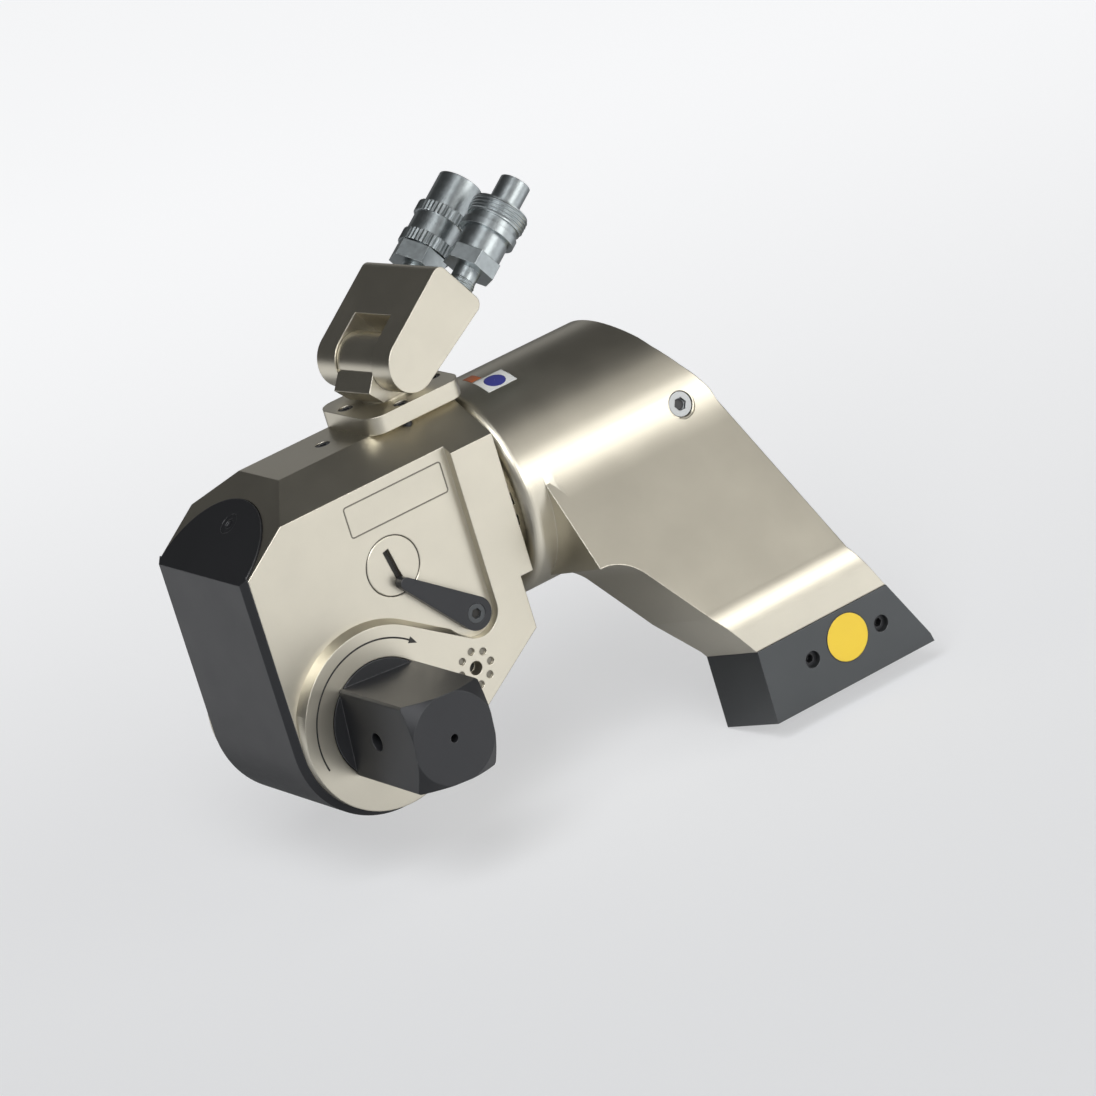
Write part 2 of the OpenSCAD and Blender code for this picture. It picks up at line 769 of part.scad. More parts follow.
// Section of the arm across the cylinder axis, drawn as drive direction and height
module slab_section() {
    back = arm_reach - foot_t;
    round_top = facet_at + (facet_r - skin) * [cos(arm_slope), sin(arm_slope)];
    touch = [0, cyl_z] + (arm_r - skin) * [cos(blend_turn), sin(blend_turn)];
    corner = blend_end + blend_r * tan((arm_slope - blend_turn) / 2) * [-sin(arm_slope), cos(arm_slope)];
    polygon([[0, cyl_z], touch, corner, blend_end, round_top, [arm_reach - skin, facet_at[1]],
        [arm_reach, facet_at[1] - over], [arm_reach, -far], [back, -far], [back, slab_back[1]],
        slab_back[0]]);
}

// The arm's slab: its front is blended into the sleeve and rounded over to the lower facet
module slab() {
    difference() {
        union() {
            section(arm_left, far) slab_section();
            intersection() {
                rail(facet_at, arm_left, far, facet_r);
                translate([arm_left, -far - facet_at[0], facet_at[1]]) cube(far);
            }
        }
        rail(blend_at, arm_left - over, far + over, blend_r);
    }
}

module lock_screw_place() {
    translate([lock_x, 0, cyl_z]) rotate([90 - lock_turn, 0, 0]) children();
}

module tenon_block(grow) {
    foot_frame() translate([tenon_x - grow, -tenon_front - grow, tenon_low - grow]) {
        cube([tenon[0] + 2 * grow, tenon[1] + 2 * grow, tenon[2] + over + 2 * grow]);
    }
}

module reaction_arm() color([0.76, 0.73, 0.66]) {
    difference() {
        union() {
            intersection() {
                arm_sleeve();
                rear_block();
                translate([0, -far / 2, -far / 2]) cube([arm_end, far, far]);
            }
            intersection() {
                arm_sleeve();
                rear_block();
                translate([0, -far - near_side, -far / 2]) cube(far);
            }
            difference() {
                intersection() {
                    slab();
                    rear_block();
                }
                hook_block();
            }
            tenon_block(0);
        }
        bar_x(arm_front - over, far, barrel_r + spline_h - 1.7);
        translate([0, 0, cyl_z]) section(arm_front - over, far) {
            spline_ring(spline_n, barrel_r - over, barrel_r + spline_h + gap,
                spline_half + spline_fit, spline_phase);
        }
        lock_screw_place() {
            translate([0, 0, barrel_r - over]) cylinder(h = arm_r, r = lock_shank_r + run);
            translate([0, 0, lock_seat]) cylinder(h = arm_r, r = lock_head_r + gap);
        }
        foot_screw_places() translate([0, 0, -tenon_wall - 6]) cylinder(h = 12, r = foot_screw_r - 1);
    }
}

module arm_lock_screw() color([0.8, 0.8, 0.8]) {
    lock_screw_place() {
        translate([0, 0, lock_seat + lock_head_t]) {
            cap_screw(lock_head_r, lock_head_t, lock_shank_r, lock_seat - barrel_r - spline_h - 0.4);
        }
        translate([0, 0, barrel_r + 0.4]) cylinder(h = lock_seat - barrel_r, r = lock_tip_r);
    }
}

// Places of the foot's screws on its front face, Z pointing out of it
module foot_screw_places() {
    for (x = foot_screw_x) {
        translate([x, -arm_reach, foot_screw_z]) rotate([90, 0, 0]) children();
    }
}

module reaction_foot() color([0.2, 0.21, 0.22]) {
    difference() {
        intersection() {
            foot_frame() side(-far, far) polygon([[foot_left, -arm_drop], [foot_right, -arm_drop],
                [foot_toe - 1, -arm_drop - foot_h + 4], [foot_toe, -arm_drop - foot_h],
                [foot_left, -arm_drop - foot_h]]);
            translate([0, -arm_reach - 0.5, -far]) cube([far, foot_t + 0.5, far]);
        }
        tenon_block(gap);
        foot_screw_places() {
            translate([0, 0, -tenon_wall]) cylinder(h = 2 * tenon_wall, r = foot_screw_r + run);
            translate([0, 0, -tenon_wall - 8]) cylinder(h = tenon_wall, r = foot_screw_r - 1);
        }
    }
}

module foot_screws() color([0.12, 0.12, 0.12]) {
    foot_screw_places() translate([0, 0, -foot_screw_sink]) {
        cap_screw(foot_screw_r, tenon_wall - foot_screw_sink - 2, foot_screw_r - 1.2, 6);
    }
}

module square_drive() color([0.22, 0.23, 0.24]) rotate([0, drive_turn, 0]) {
    square_in = face + gap;
    difference() {
        union() {
            intersection() {
                translate([-square_af / 2, -square_end, -square_af / 2]) {
                    cube([square_af, square_end - square_in, square_af]);
                }
                rotate([90, 0, 0]) rotate_extrude() polygon([[0, 0], [corner_r, 0],
                    [corner_r, square_end - tip_cone], [square_tip_r, square_end], [0, square_end]]);
            }
            bar_y([0, 0], ratchet_half, square_in + skin, journal_r);
            bar_y([0, 0], -ratchet_half, ratchet_half + over, spline_root);
            side(-ratchet_half, ratchet_half + over) {
                spline_ring(drive_spline_n, spline_root - over, spline_tip, 8 - 0.15, 0);
            }
            bar_y([0, 0], -face, -ratchet_half + over, rear_journal_r);
        }
        bar_y([0, 0], -face - over, -drive_bore_in, drive_bore_r);
        bar_y([0, 0], square_end - 7, square_end + over, 1.8);
        translate([-square_af, -cross_hole_d, 0]) rotate([0, 90, 0]) {
            cylinder(h = 2 * square_af, r = cross_hole_r);
        }
    }
}

module drive_retainer() color([0.2, 0.2, 0.21]) {
    outer = face + gap + retainer_t;
    difference() {
        rotate([-90, 0, 0]) rotate_extrude() polygon([[0, drive_bore_in + over],
            [drive_bore_r - run, drive_bore_in + over], [drive_bore_r - run, face + gap],
            [retainer_r, face + gap], [retainer_r, outer - 2], [retainer_r - 2, outer], [0, outer]]);
        bar_y([0, 0], -outer - over, -drive_bore_in - 3, button_r + run);
    }
}

module retainer_button() color([0.75, 0.75, 0.76]) {
    outer = face + gap + retainer_t;
    rotate([-90, 0, 0]) rotate_extrude() polygon([[0, outer + button_out - button_len],
        [button_r, outer + button_out - button_len], [button_r, outer + button_out - 1],
        [button_r - 1, outer + button_out], [0, outer + button_out]]);
}

module button_spring() color([0.6, 0.6, 0.62]) {
    wire = 0.6;
    seat = drive_bore_in + 3;
    room = face + gap + retainer_t + button_out - button_len - seat;
    turns = 4;
    translate([0, seat + wire + run, 0]) rotate([-90, 0, 0]) {
        coil(button_r - 1.4, wire, turns, (room - 2 * wire - 2 * run) / turns);
    }
}

module holding_pawl() color([0.42, 0.42, 0.44]) {
    difference() {
        link(-pawl_half, pawl_half, pawl, pawl_boss_r, nose, nose_r);
        bar_y(pawl, -cavity_half, cavity_half, shaft_r + run);
    }
}

module pawl_shaft() color([0.7, 0.7, 0.72]) {
    difference() {
        bar_y(pawl, -cavity_half - shaft_blind + gap, lever_in + lever_hub, shaft_r);
        bar_y(pawl, lever_in - 8, lever_in + 2 * over, lever_shank_r + run);
    }
}

module pawl_spring() color([0.6, 0.6, 0.62]) {
    wire = 0.7;
    turns = 3.5;
    room = cavity_half - pawl_half;
    translate([pawl_x, pawl_half + wire + run, pawl_z]) rotate([-90, 0, 0]) {
        coil(shaft_r + 1.3, wire, turns, (room - 2 * wire - 2 * gap) / turns);
    }
}

module release_lever() color([0.15, 0.15, 0.16]) {
    difference() {
        link(lever_in, lever_in + lever_t, pawl, lever_r, lever_tip, lever_tip_r);
        bar_y(pawl, lever_in - over, lever_in + lever_hub + run, shaft_r + run);
        bar_y(pawl, lever_in, lever_in + 2 * lever_t, lever_shank_r + run);
        bar_y(pawl, lever_in + lever_hub + lever_web, lever_in + 2 * lever_t, lever_head_r + run);
    }
}

module lever_screw() color([0.3, 0.3, 0.31]) {
    translate([pawl_x, -lever_in - lever_hub - lever_web - lever_head_t, pawl_z]) rotate([90, 0, 0]) {
        cap_screw(lever_head_r, lever_head_t, lever_shank_r, 8);
    }
}

function base_screw_at(i) = [base_x, 0] + base_screw_ring * [cos(base_screw_turn + 90 * i),
    sin(base_screw_turn + 90 * i)];

module swivel_base() color([0.77, 0.74, 0.68]) {
    difference() {
        translate([base_x, 0, head_top]) linear_extrude(base_t) {
            round_plate(base_l, base_w, base_corner);
        }
        bar_z([swivel_x, 0], head_top - over, plate_top + over, neck_r + run);
        bar_z([swivel_x, 0], head_top - over, head_top + flange_t + 2 * gap, flange_r + gap);
        for (i = [0:3]) {
            bar_z(base_screw_at(i), head_top - over, plate_top + over, base_screw_r - 1);
            bar_z(base_screw_at(i), plate_top - 4, plate_top + over, base_screw_r + run);
        }
    }
}

module swivel_base_screws() color([0.2, 0.2, 0.21]) {
    for (i = [0:3]) {
        at = base_screw_at(i);
        translate([at[0], at[1], plate_top - 0.3]) cap_screw(base_screw_r, 3.5, base_screw_r - 1 - run, 12);
    }
}

// Turn of the swivel about its upright axis
module turned() {
    translate([swivel_x, 0, 0]) rotate([0, 0, yoke_turn]) translate([-swivel_x, 0, 0]) children();
}

module swivel_post() color([0.72, 0.69, 0.63]) turned() {
    flare_z = plate_top + 8;
    difference() {
        union() {
            side(-tongue_half, tongue_half) {
                translate([swivel_x, pivot_z]) circle(r = tongue_top_r);
                translate([swivel_x, 0]) polygon([[-tongue_top_r, pivot_z], [-tongue_flare, flare_z],
                    [-neck_r, plate_top + 1.5], [neck_r, plate_top + 1.5], [tongue_flare, flare_z],
                    [tongue_top_r, pivot_z]]);
            }
            bar_z([swivel_x, 0], head_top + gap, plate_top + 4, neck_r);
            bar_z([swivel_x, 0], head_top + gap, head_top + gap + flange_t, flange_r);
            bar_z([swivel_x, 0], stem_in, head_top + over, stem_r);
        }
        bar_y([swivel_x, pivot_z], -yoke_half, yoke_half, pin_r + run);
        for (i = [0:1]) {
            z = stem_in + 2.5 + 5 * i;
            difference() {
                bar_z([swivel_x, 0], z, z + 2.5, stem_r + over);
                bar_z([swivel_x, 0], z - over, z + 2.5 + over, stem_r - 1.6);
            }
        }
    }
}

module swivel_seals() color([0.12, 0.12, 0.12]) {
    for (i = [0:1]) {
        z = stem_in + 2.5 + 5 * i;
        difference() {
            bar_z([swivel_x, 0], z + run, z + 2.5 - run, stem_r);
            bar_z([swivel_x, 0], z - over, z + 2.5 + over, stem_r - 1.6 + run);
        }
    }
}

// Frame of the yoke: Z along the yoke from its pivot
module yoke_frame() {
    turned() translate([swivel_x, 0, pivot_z]) rotate([0, yoke_lean, 0]) children();
}

module swivel_yoke() color([0.78, 0.75, 0.69]) {
    corner = 4;
    shoulder = yoke_len - corner;
    low_side = ear_r + yoke_flare;
    yoke_frame() difference() {
        side(-yoke_half, yoke_half) {
            circle(r = ear_r);
            polygon([[-ear_r, 0], [ear_r, 0], [low_side, shoulder], [low_side - corner, yoke_len],
                [corner - ear_r, yoke_len], [-ear_r, shoulder]]);
            translate([corner - ear_r, shoulder]) circle(r = corner);
            translate([low_side - corner, shoulder]) circle(r = corner);
        }
        translate([-far / 2, -slot_half, -far + slot_depth]) cube([far, 2 * slot_half, far]);
        bar_y([0, 0], -yoke_half - over, yoke_half - pin_wall, pin_r + run);
        for (s = [-1, 1]) {
            bar_z([coupler_x, s * coupler_y], yoke_len - port_depth, yoke_len + over, port_thread_r + run);
        }
    }
}

module yoke_pin() color([0.75, 0.75, 0.77]) {
    yoke_frame() bar_y([0, 0], -yoke_half + pin_wall, yoke_half - pin_wall - gap, pin_r);
}

module yoke_pin_plug() color([0.3, 0.3, 0.31]) {
    yoke_frame() translate([0, yoke_half - 0.3, 0]) rotate([-90, 0, 0]) {
        cap_screw(pin_r, pin_wall - 1, pin_r - 1, 0.3);
    }
}

// Frame of a coupler: Z along its axis from the top of the yoke
module coupler_frame(s) {
    lift = s > 0 ? socket_lift : plug_lift;
    yoke_frame() translate([coupler_x, s * coupler_y, yoke_len + lift]) children();
}

module socket_coupler_body() color([0.8, 0.82, 0.83]) {
    coupler_frame(1) difference() {
        union() {
            translate([0, 0, -port_depth - socket_lift + gap]) {
                cylinder(h = port_depth + socket_lift + 2, r = port_thread_r);
            }
            translate([0, 0, 1]) cylinder(h = 8, r = collar_r + 0.4, $fn = 6);
            translate([0, 0, 2]) cylinder(h = 28, r = collar_r - 2.5);
            translate([0, 0, 29.3]) cylinder(h = 15, r = collar_r - 2);
        }
        translate([0, 0, 16]) cylinder(h = 40, r = 7.5);
        translate([0, 0, -2 * port_depth]) cylinder(h = 40, r = 3);
    }
}

module knurl(r, z0, z1) {
    n = 40;
    translate([0, 0, z0]) linear_extrude(z1 - z0) {
        polygon([for (i = [0:2 * n - 1])
            (i % 2 == 0 ? r : r - 0.45) * [cos(180 * i / n), sin(180 * i / n)]]);
    }
}

module socket_coupler_collar() color([0.78, 0.8, 0.81]) {
    coupler_frame(1) difference() {
        union() {
            knurl(collar_r, 9.4, 15);
            translate([0, 0, 14.5]) cylinder(h = 10, r = collar_r - 1);
            knurl(collar_r, 24, 29);
        }
        translate([0, 0, 9]) cylinder(h = 21, r = collar_r - 2.5 + run);
    }
}

module plug_coupler_body() color([0.8, 0.82, 0.83]) {
    coupler_frame(-1) difference() {
        union() {
            translate([0, 0, -port_depth - plug_lift + gap]) {
                cylinder(h = port_depth + plug_lift + 6, r = port_thread_r);
            }
            translate([0, 0, 5]) cylinder(h = 7, r = collar_r, $fn = 6);
            translate([0, 0, 12]) cylinder(h = plug_body_end - 12, r = collar_r - 1.8);
        }
        translate([0, 0, plug_seat]) cylinder(h = 2 * plug_body_end, r = nipple_r + 1);
        translate([0, 0, -2 * port_depth]) cylinder(h = 40, r = 3);
    }
}

module plug_coupler_ring() color([0.78, 0.8, 0.81]) {
    coupler_frame(-1) difference() {
        union() {
            translate([0, 0, 22]) cylinder(h = 3.5, r = collar_r + 0.3);
            translate([0, 0, 25]) cylinder(h = 4, r = collar_r - 0.8);
            translate([0, 0, 28.5]) cylinder(h = 7.5, r = collar_r + 0.1);
        }
        translate([0, 0, 21]) cylinder(h = 17, r = collar_r - 1.8 + run);
    }
}

module plug_coupler_nipple() color([0.82, 0.84, 0.85]) {
    coupler_frame(-1) difference() {
        union() {
            translate([0, 0, plug_seat + run]) {
                cylinder(h = plug_body_end - plug_seat - run, r = nipple_r + 1 - run);
            }
            translate([0, 0, plug_seat + over]) {
                cylinder(h = plug_body_end - plug_seat - over + nipple_len, r = nipple_r);
            }
        }
        translate([0, 0, plug_seat - over]) {
            cylinder(h = 2 * plug_body_end, r = nipple_r - nipple_wall);
        }
    }
}

housing();
shroud();
shroud_screws();
access_plug();
top_port_plug();
drive_sleeve_front();
drive_sleeve_rear();
ratchet_wheel();
drive_plates();
drive_pawl();
drive_pawl_pins();
crank_pin();
piston_rod();
piston();
piston_seal();
piston_nut();
rod_gland();
rod_seal();
end_cap();
end_cap_seal();
reaction_arm();
arm_lock_screw();
reaction_foot();
foot_screws();
square_drive();
drive_retainer();
retainer_button();
button_spring();
holding_pawl();
pawl_shaft();
pawl_spring();
release_lever();
lever_screw();
swivel_base();
swivel_base_screws();
swivel_post();
swivel_seals();
swivel_yoke();
yoke_pin();
yoke_pin_plug();
socket_coupler_body();
socket_coupler_collar();
plug_coupler_body();
plug_coupler_ring();
plug_coupler_nipple();
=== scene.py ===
"""Looks of a square-drive hydraulic torque wrench: finishes, marks, threads, studio and camera.

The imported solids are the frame. This file paints them, adds the thin marks and turned details that
sit on them, and sets up the studio. All places are in the row frame, in metres.
"""

import math

import bpy
import numpy as np
from mathutils import Matrix, Vector


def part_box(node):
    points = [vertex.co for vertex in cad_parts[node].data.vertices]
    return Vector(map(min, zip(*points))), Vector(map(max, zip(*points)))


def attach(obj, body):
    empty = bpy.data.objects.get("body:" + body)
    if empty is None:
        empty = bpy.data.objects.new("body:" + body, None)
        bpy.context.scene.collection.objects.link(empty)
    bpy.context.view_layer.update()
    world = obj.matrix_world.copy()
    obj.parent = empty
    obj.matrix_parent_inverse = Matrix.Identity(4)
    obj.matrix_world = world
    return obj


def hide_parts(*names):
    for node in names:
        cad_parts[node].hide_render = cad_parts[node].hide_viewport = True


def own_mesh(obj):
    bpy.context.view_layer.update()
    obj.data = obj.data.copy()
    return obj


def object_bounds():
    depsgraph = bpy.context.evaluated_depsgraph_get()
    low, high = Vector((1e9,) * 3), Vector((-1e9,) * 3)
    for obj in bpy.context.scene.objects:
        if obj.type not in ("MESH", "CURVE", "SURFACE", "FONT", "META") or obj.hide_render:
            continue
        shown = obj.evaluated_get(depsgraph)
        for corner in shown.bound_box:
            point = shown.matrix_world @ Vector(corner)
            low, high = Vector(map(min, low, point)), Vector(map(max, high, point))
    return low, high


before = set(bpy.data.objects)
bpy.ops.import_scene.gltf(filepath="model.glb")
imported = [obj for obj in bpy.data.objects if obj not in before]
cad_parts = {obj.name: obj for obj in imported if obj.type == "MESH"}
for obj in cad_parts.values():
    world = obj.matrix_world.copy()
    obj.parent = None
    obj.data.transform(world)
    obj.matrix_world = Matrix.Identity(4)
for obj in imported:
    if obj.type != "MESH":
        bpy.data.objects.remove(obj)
CAD_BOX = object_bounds()

bl_info = {
    "name": "Torque wrench looks",
    "version": (1, 0, 0),
    "blender": (4, 5, 0),
    "location": "View3D > Sidebar > Wrench",
    "description": "Finishes, marks, threads and studio for a square-drive hydraulic torque wrench",
    "category": "Object",
}

RECESS_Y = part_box("access_plug")[0].y
PAD_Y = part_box("housing")[0].y
FOOT_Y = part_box("reaction_foot")[0].y
FLOOR_Z = CAD_BOX[0].z - 0.0008
DRIVE_SIDE = (0, -1, 0)

# Thickness of the films and of the dark discs of painted shade on the floors, of the dot that lies on a film,
# and how deep the backs of the thin marks lie in the metal
FILM, DOT_FILM, SUNK = 0.00006, 0.0001, 0.0001

# The disc on the foot: how far it lies over its rim, and its share of the rim's radius
DISC_LIFT, DISC_SHARE = 0.00008, 0.965

# Turning arc and its arrow, in degrees about the drive axis, and the width of the arrow from end to tip
ARC_TURN, ARROW_TURN = (52, 196), (52, 45)
ARROW_WIDTH = (0.0030, 0.00005)

# Sleeve and slab of the reaction arm, and the turn of the lock screw about the sleeve
SLEEVE_Z, SLEEVE_RADIUS = 0.056, 0.047
SLAB_TURN, SLAB_REACH = math.radians(34.5), 0.0423
LOCK_TURN, LOCK_FLOOR = math.radians(14), 0.0447

# Hollow round: its ends as (height, x), the depths to which it sinks at the screw and where it starts,
# the length of that start, and the depth of its back
BLEND_ENDS = ((0.0701, 0.1884), (0.0540, 0.1920))
BLEND_SINKS = np.array([0.0032, 0.0011])
BLEND_FADE, BLEND_BACK = 0.006, 0.002

# Boss round the drive, and the notch in which the lever's end lies
BOSS_RADIUS, NOTCH_RADIUS = 0.039, 0.0105
NOTCH_CENTRE = np.array([0.0542, 0.0232])

# Slope along the boss: the turn at which it starts by the nose, how far its edge and foot keep off the
# two faces, and how far its root lies inside the step and under the floor
NOSE_TURN = math.radians(176)
SLOPE_CLEAR, ROOT_INSIDE, ROOT_UNDER = 0.00002, 0.0004, 0.0003


def yoke_axes(lean=57.0, turn=8.0):
    """The yoke's own axes: across its slot, along its pin and along its length, as rows."""
    a, b = math.radians(lean), math.radians(turn)
    return np.array([[math.cos(a) * math.cos(b), math.cos(a) * math.sin(b), -math.sin(a)],
                     [-math.sin(b), math.cos(b), 0],
                     [math.sin(a) * math.cos(b), math.sin(a) * math.sin(b), math.cos(a)]])


YOKE_PIVOT = np.array([0.0662, 0, 0.1284])
YOKE_AXES = yoke_axes()
COUPLER_OFFSET, COUPLER_SPREAD = 0.007, 0.0175

# Threads on the couplers: name, side, start along the coupler, root radius, depth, pitch and length
THREADS = (("plug_ring_thread", -1, 0.0742, 0.0121, 0.0006, 0.0016, 0.0062),
           ("plug_stub_thread", -1, 0.0411, 0.0055, 0.0005, 0.0014, 0.0038),
           ("socket_stub_thread", 1, 0.0411, 0.0055, 0.0005, 0.0014, 0.0068))

NICKEL_NODES = ("housing", "access_plug", "reaction_arm", "swivel_base", "swivel_post", "swivel_yoke")
BLACK_NODES = ("shroud", "shroud_screws", "square_drive", "drive_retainer", "release_lever",
               "top_port_plug", "swivel_base_screws", "foot_screws")
BLUED_NODES = ("reaction_foot", "lever_screw")
ZINC_NODES = ("socket_coupler_body", "socket_coupler_collar", "plug_coupler_body", "plug_coupler_ring",
              "plug_coupler_nipple")
STEEL_NODES = ("drive_pawl_pins", "crank_pin", "piston", "retainer_button",
               "button_spring", "pawl_shaft", "pawl_spring", "yoke_pin")
DARK_NODES = ("ratchet_wheel", "drive_plates", "drive_pawl", "holding_pawl", "piston_nut", "end_cap",
              "yoke_pin_plug")
BRONZE_NODES = ("drive_sleeve_front", "drive_sleeve_rear", "rod_gland")
CHROME_NODES = ("piston_rod",)
SCREW_NODES = ("arm_lock_screw",)
SEAL_NODES = ("piston_seal", "rod_seal", "end_cap_seal", "swivel_seals")


class WrenchSizes(bpy.types.PropertyGroup):
    """Sizes of the marks and of the soft edges."""

    edge_radius: bpy.props.FloatProperty(
        name="Edge radius", description="Rounding that the finishes show on the machined edges",
        default=0.0006, min=0.0, unit="LENGTH")
    line_width: bpy.props.FloatProperty(
        name="Line width", description="Width of the engraved lines on the head",
        default=0.0005, min=0.0001, unit="LENGTH")
    line_height: bpy.props.FloatProperty(
        name="Line height", description="How far the filled lines stand above the metal",
        default=0.00006, min=0.00001, unit="LENGTH")
    plate_centre: bpy.props.FloatVectorProperty(
        name="Plate centre", description="Middle of the bare engraved plate outline, along X and Z",
        size=2, default=(0.0365, 0.0822), unit="LENGTH")
    plate_size: bpy.props.FloatVectorProperty(
        name="Plate size", description="Length and height of the bare engraved plate outline",
        size=2, default=(0.049, 0.0135), unit="LENGTH")
    plate_corner: bpy.props.FloatProperty(
        name="Plate corner", description="Corner radius of the bare engraved plate outline",
        default=0.0012, unit="LENGTH")
    arc_radius: bpy.props.FloatProperty(
        name="Arc radius", description="Radius of the turning arc about the drive axis",
        default=0.0335, unit="LENGTH")
    rosette_centre: bpy.props.FloatVectorProperty(
        name="Rosette centre", description="Middle hole of the ring of small holes, along X and Z",
        size=2, default=(0.0465, 0.0015), unit="LENGTH")
    rosette_depth: bpy.props.FloatProperty(
        name="Rosette depth", description="Depth of the middle hole", default=0.006, unit="LENGTH")
    # Painted shade: the dark floor of the middle hole is a dark disc that stands for the shade in the hole
    rosette_shade: bpy.props.FloatProperty(
        name="Rosette floor", description="Radius of the dark floor of the middle hole",
        default=0.0028, unit="LENGTH")
    rosette_radius: bpy.props.FloatProperty(
        name="Rosette radius", description="Radius of the ring of small holes",
        default=0.0075, unit="LENGTH")
    dimple_depth: bpy.props.FloatProperty(
        name="Dimple depth", description="Depth of the small holes", default=0.001, unit="LENGTH")
    # Painted shade: the floors of the small holes are darker discs that stand for the shade in them
    dimple_shade: bpy.props.FloatProperty(
        name="Dimple floor", description="Radius of the floors of the small holes",
        default=0.0015, unit="LENGTH")
    lever_socket_depth: bpy.props.FloatProperty(
        name="Lever socket depth", description="Depth of the socket in the lever's screw",
        default=0.00108, unit="LENGTH")
    # Painted shade: a dark disc on the floor of the lever screw's socket
    lever_socket_shade: bpy.props.FloatProperty(
        name="Lever socket floor", description="Radius of the dark floor of the lever screw's socket",
        default=0.0019, unit="LENGTH")
    # Painted shade: a dark disc on the floor of the lock screw's socket
    lock_socket_shade: bpy.props.FloatProperty(
        name="Lock socket floor", description="Radius of the dark floor of the lock screw's socket",
        default=0.0024, unit="LENGTH")
    seam_depth: bpy.props.FloatProperty(
        name="Seam depth", description="How far the plug's dark seam lies below the recessed face",
        default=0.00028, unit="LENGTH")
    # Painted shade: the blackened floor of the plug's slot is a dark strip that stands for the shade in the
    # deep slot
    slot_shade_length: bpy.props.FloatProperty(
        name="Slot length", description="Length of the blackened floor of the plug's slot",
        default=0.0148, unit="LENGTH")
    slot_shade_width: bpy.props.FloatProperty(
        name="Slot width", description="Width of the blackened floor of the plug's slot",
        default=0.0029, unit="LENGTH")
    slot_depth: bpy.props.FloatProperty(
        name="Slot depth", description="Depth of the plug's slot", default=0.002, unit="LENGTH")
    slot_turn: bpy.props.FloatProperty(
        name="Slot turn", description="Turn of the plug's slot from upright, in degrees", default=11.0)
    disc_centre: bpy.props.FloatVectorProperty(
        name="Disc centre", description="Middle of the yellow disc on the foot, along X and Z",
        size=2, default=(0.1895, -0.0404), unit="LENGTH")
    disc_radius: bpy.props.FloatProperty(
        name="Disc radius", description="Radius of the yellow disc on the foot",
        default=0.0108, unit="LENGTH")
    spring_wire: bpy.props.FloatProperty(
        name="Spring wire", description="Radius of the wire of the push button's spring",
        default=0.0006, unit="LENGTH")
    patch_along: bpy.props.FloatVectorProperty(
        name="Patch along", description="Where the plain patch on the sleeve starts and ends, along X",
        size=2, default=(0.1030, 0.1178), unit="LENGTH")
    patch_turn: bpy.props.FloatVectorProperty(
        name="Patch turn", description="Where the plain patch starts and ends about the sleeve",
        size=2, default=(math.radians(68.1), math.radians(82.5)), unit="ROTATION")
    dot_radius: bpy.props.FloatProperty(
        name="Dot radius", description="Radius of the plain dot on the patch",
        default=0.0047, unit="LENGTH")
    strip_length: bpy.props.FloatProperty(
        name="Strip length", description="Length of the plain strip beside the patch, along X",
        default=0.0052, unit="LENGTH")
    strip_turn: bpy.props.FloatVectorProperty(
        name="Strip turn", description="Start and end of the plain strip about the sleeve, past the patch",
        size=2, default=(0.02, 0.17), unit="ROTATION")
    slope_width: bpy.props.FloatProperty(
        name="Slope width", description="Width of the slope along the step round the boss",
        default=0.0019, min=0.0001, unit="LENGTH")
    blend_radius: bpy.props.FloatProperty(
        name="Blend radius", description="Hollow round that carries the sleeve over into the arm's slab",
        default=0.060, min=0.01, unit="LENGTH")
    blend_start: bpy.props.FloatProperty(
        name="Blend start", description="Where the hollow round starts, along X",
        default=0.10015, unit="LENGTH")
    blend_clear: bpy.props.FloatProperty(
        name="Blend clear", description="Radius round the lock screw that the hollow round leaves free",
        default=0.0056, unit="LENGTH")


class WrenchColours(bpy.types.PropertyGroup):
    """Colours of the finishes."""

    nickel: bpy.props.FloatVectorProperty(
        name="Nickel", description="Satin nickel plating of the body", subtype="COLOR", size=3,
        min=0, max=1, default=(0.63, 0.594, 0.50))
    black_oxide: bpy.props.FloatVectorProperty(
        name="Black oxide", description="Black oxide of the shroud, lever and square", subtype="COLOR",
        size=3, min=0, max=1, default=(0.030, 0.031, 0.034))
    blued: bpy.props.FloatVectorProperty(
        name="Blued", description="Blued steel of the foot and of the lever's screw",
        subtype="COLOR", size=3, min=0, max=1, default=(0.085, 0.090, 0.093))
    # Lighter colour of the black edges: rubbed oxide, and also a painted edge highlight
    worn_edge_and_highlight: bpy.props.FloatVectorProperty(
        name="Worn edge", description="Colour of black edges where the oxide is rubbed", subtype="COLOR",
        size=3, min=0, max=1, default=(0.16, 0.16, 0.165))
    zinc: bpy.props.FloatVectorProperty(
        name="Zinc", description="Bright zinc of the couplers", subtype="COLOR", size=3, min=0, max=1,
        default=(0.38, 0.415, 0.425))
    disc: bpy.props.FloatVectorProperty(
        name="Disc", description="Yellow of the disc on the foot", subtype="COLOR", size=3, min=0, max=1,
        default=(0.98, 0.68, 0.06))


def sizes():
    return bpy.context.scene.wrench_sizes


def colours():
    return bpy.context.scene.wrench_colours


# Meshes worked out as arrays


def mesh_piece(name, points, faces, smooth=False):
    """A mesh object at the origin from an (n, 3) array of points and a list of faces."""
    mesh = bpy.data.meshes.new(name)
    mesh.from_pydata(np.asarray(points, float).reshape(-1, 3).tolist(), [], faces)
    mesh.update()
    if smooth:
        mesh.polygons.foreach_set("use_smooth", np.ones(len(mesh.polygons), bool))
    piece = bpy.data.objects.new(name, mesh)
    bpy.context.scene.collection.objects.link(piece)
    return piece


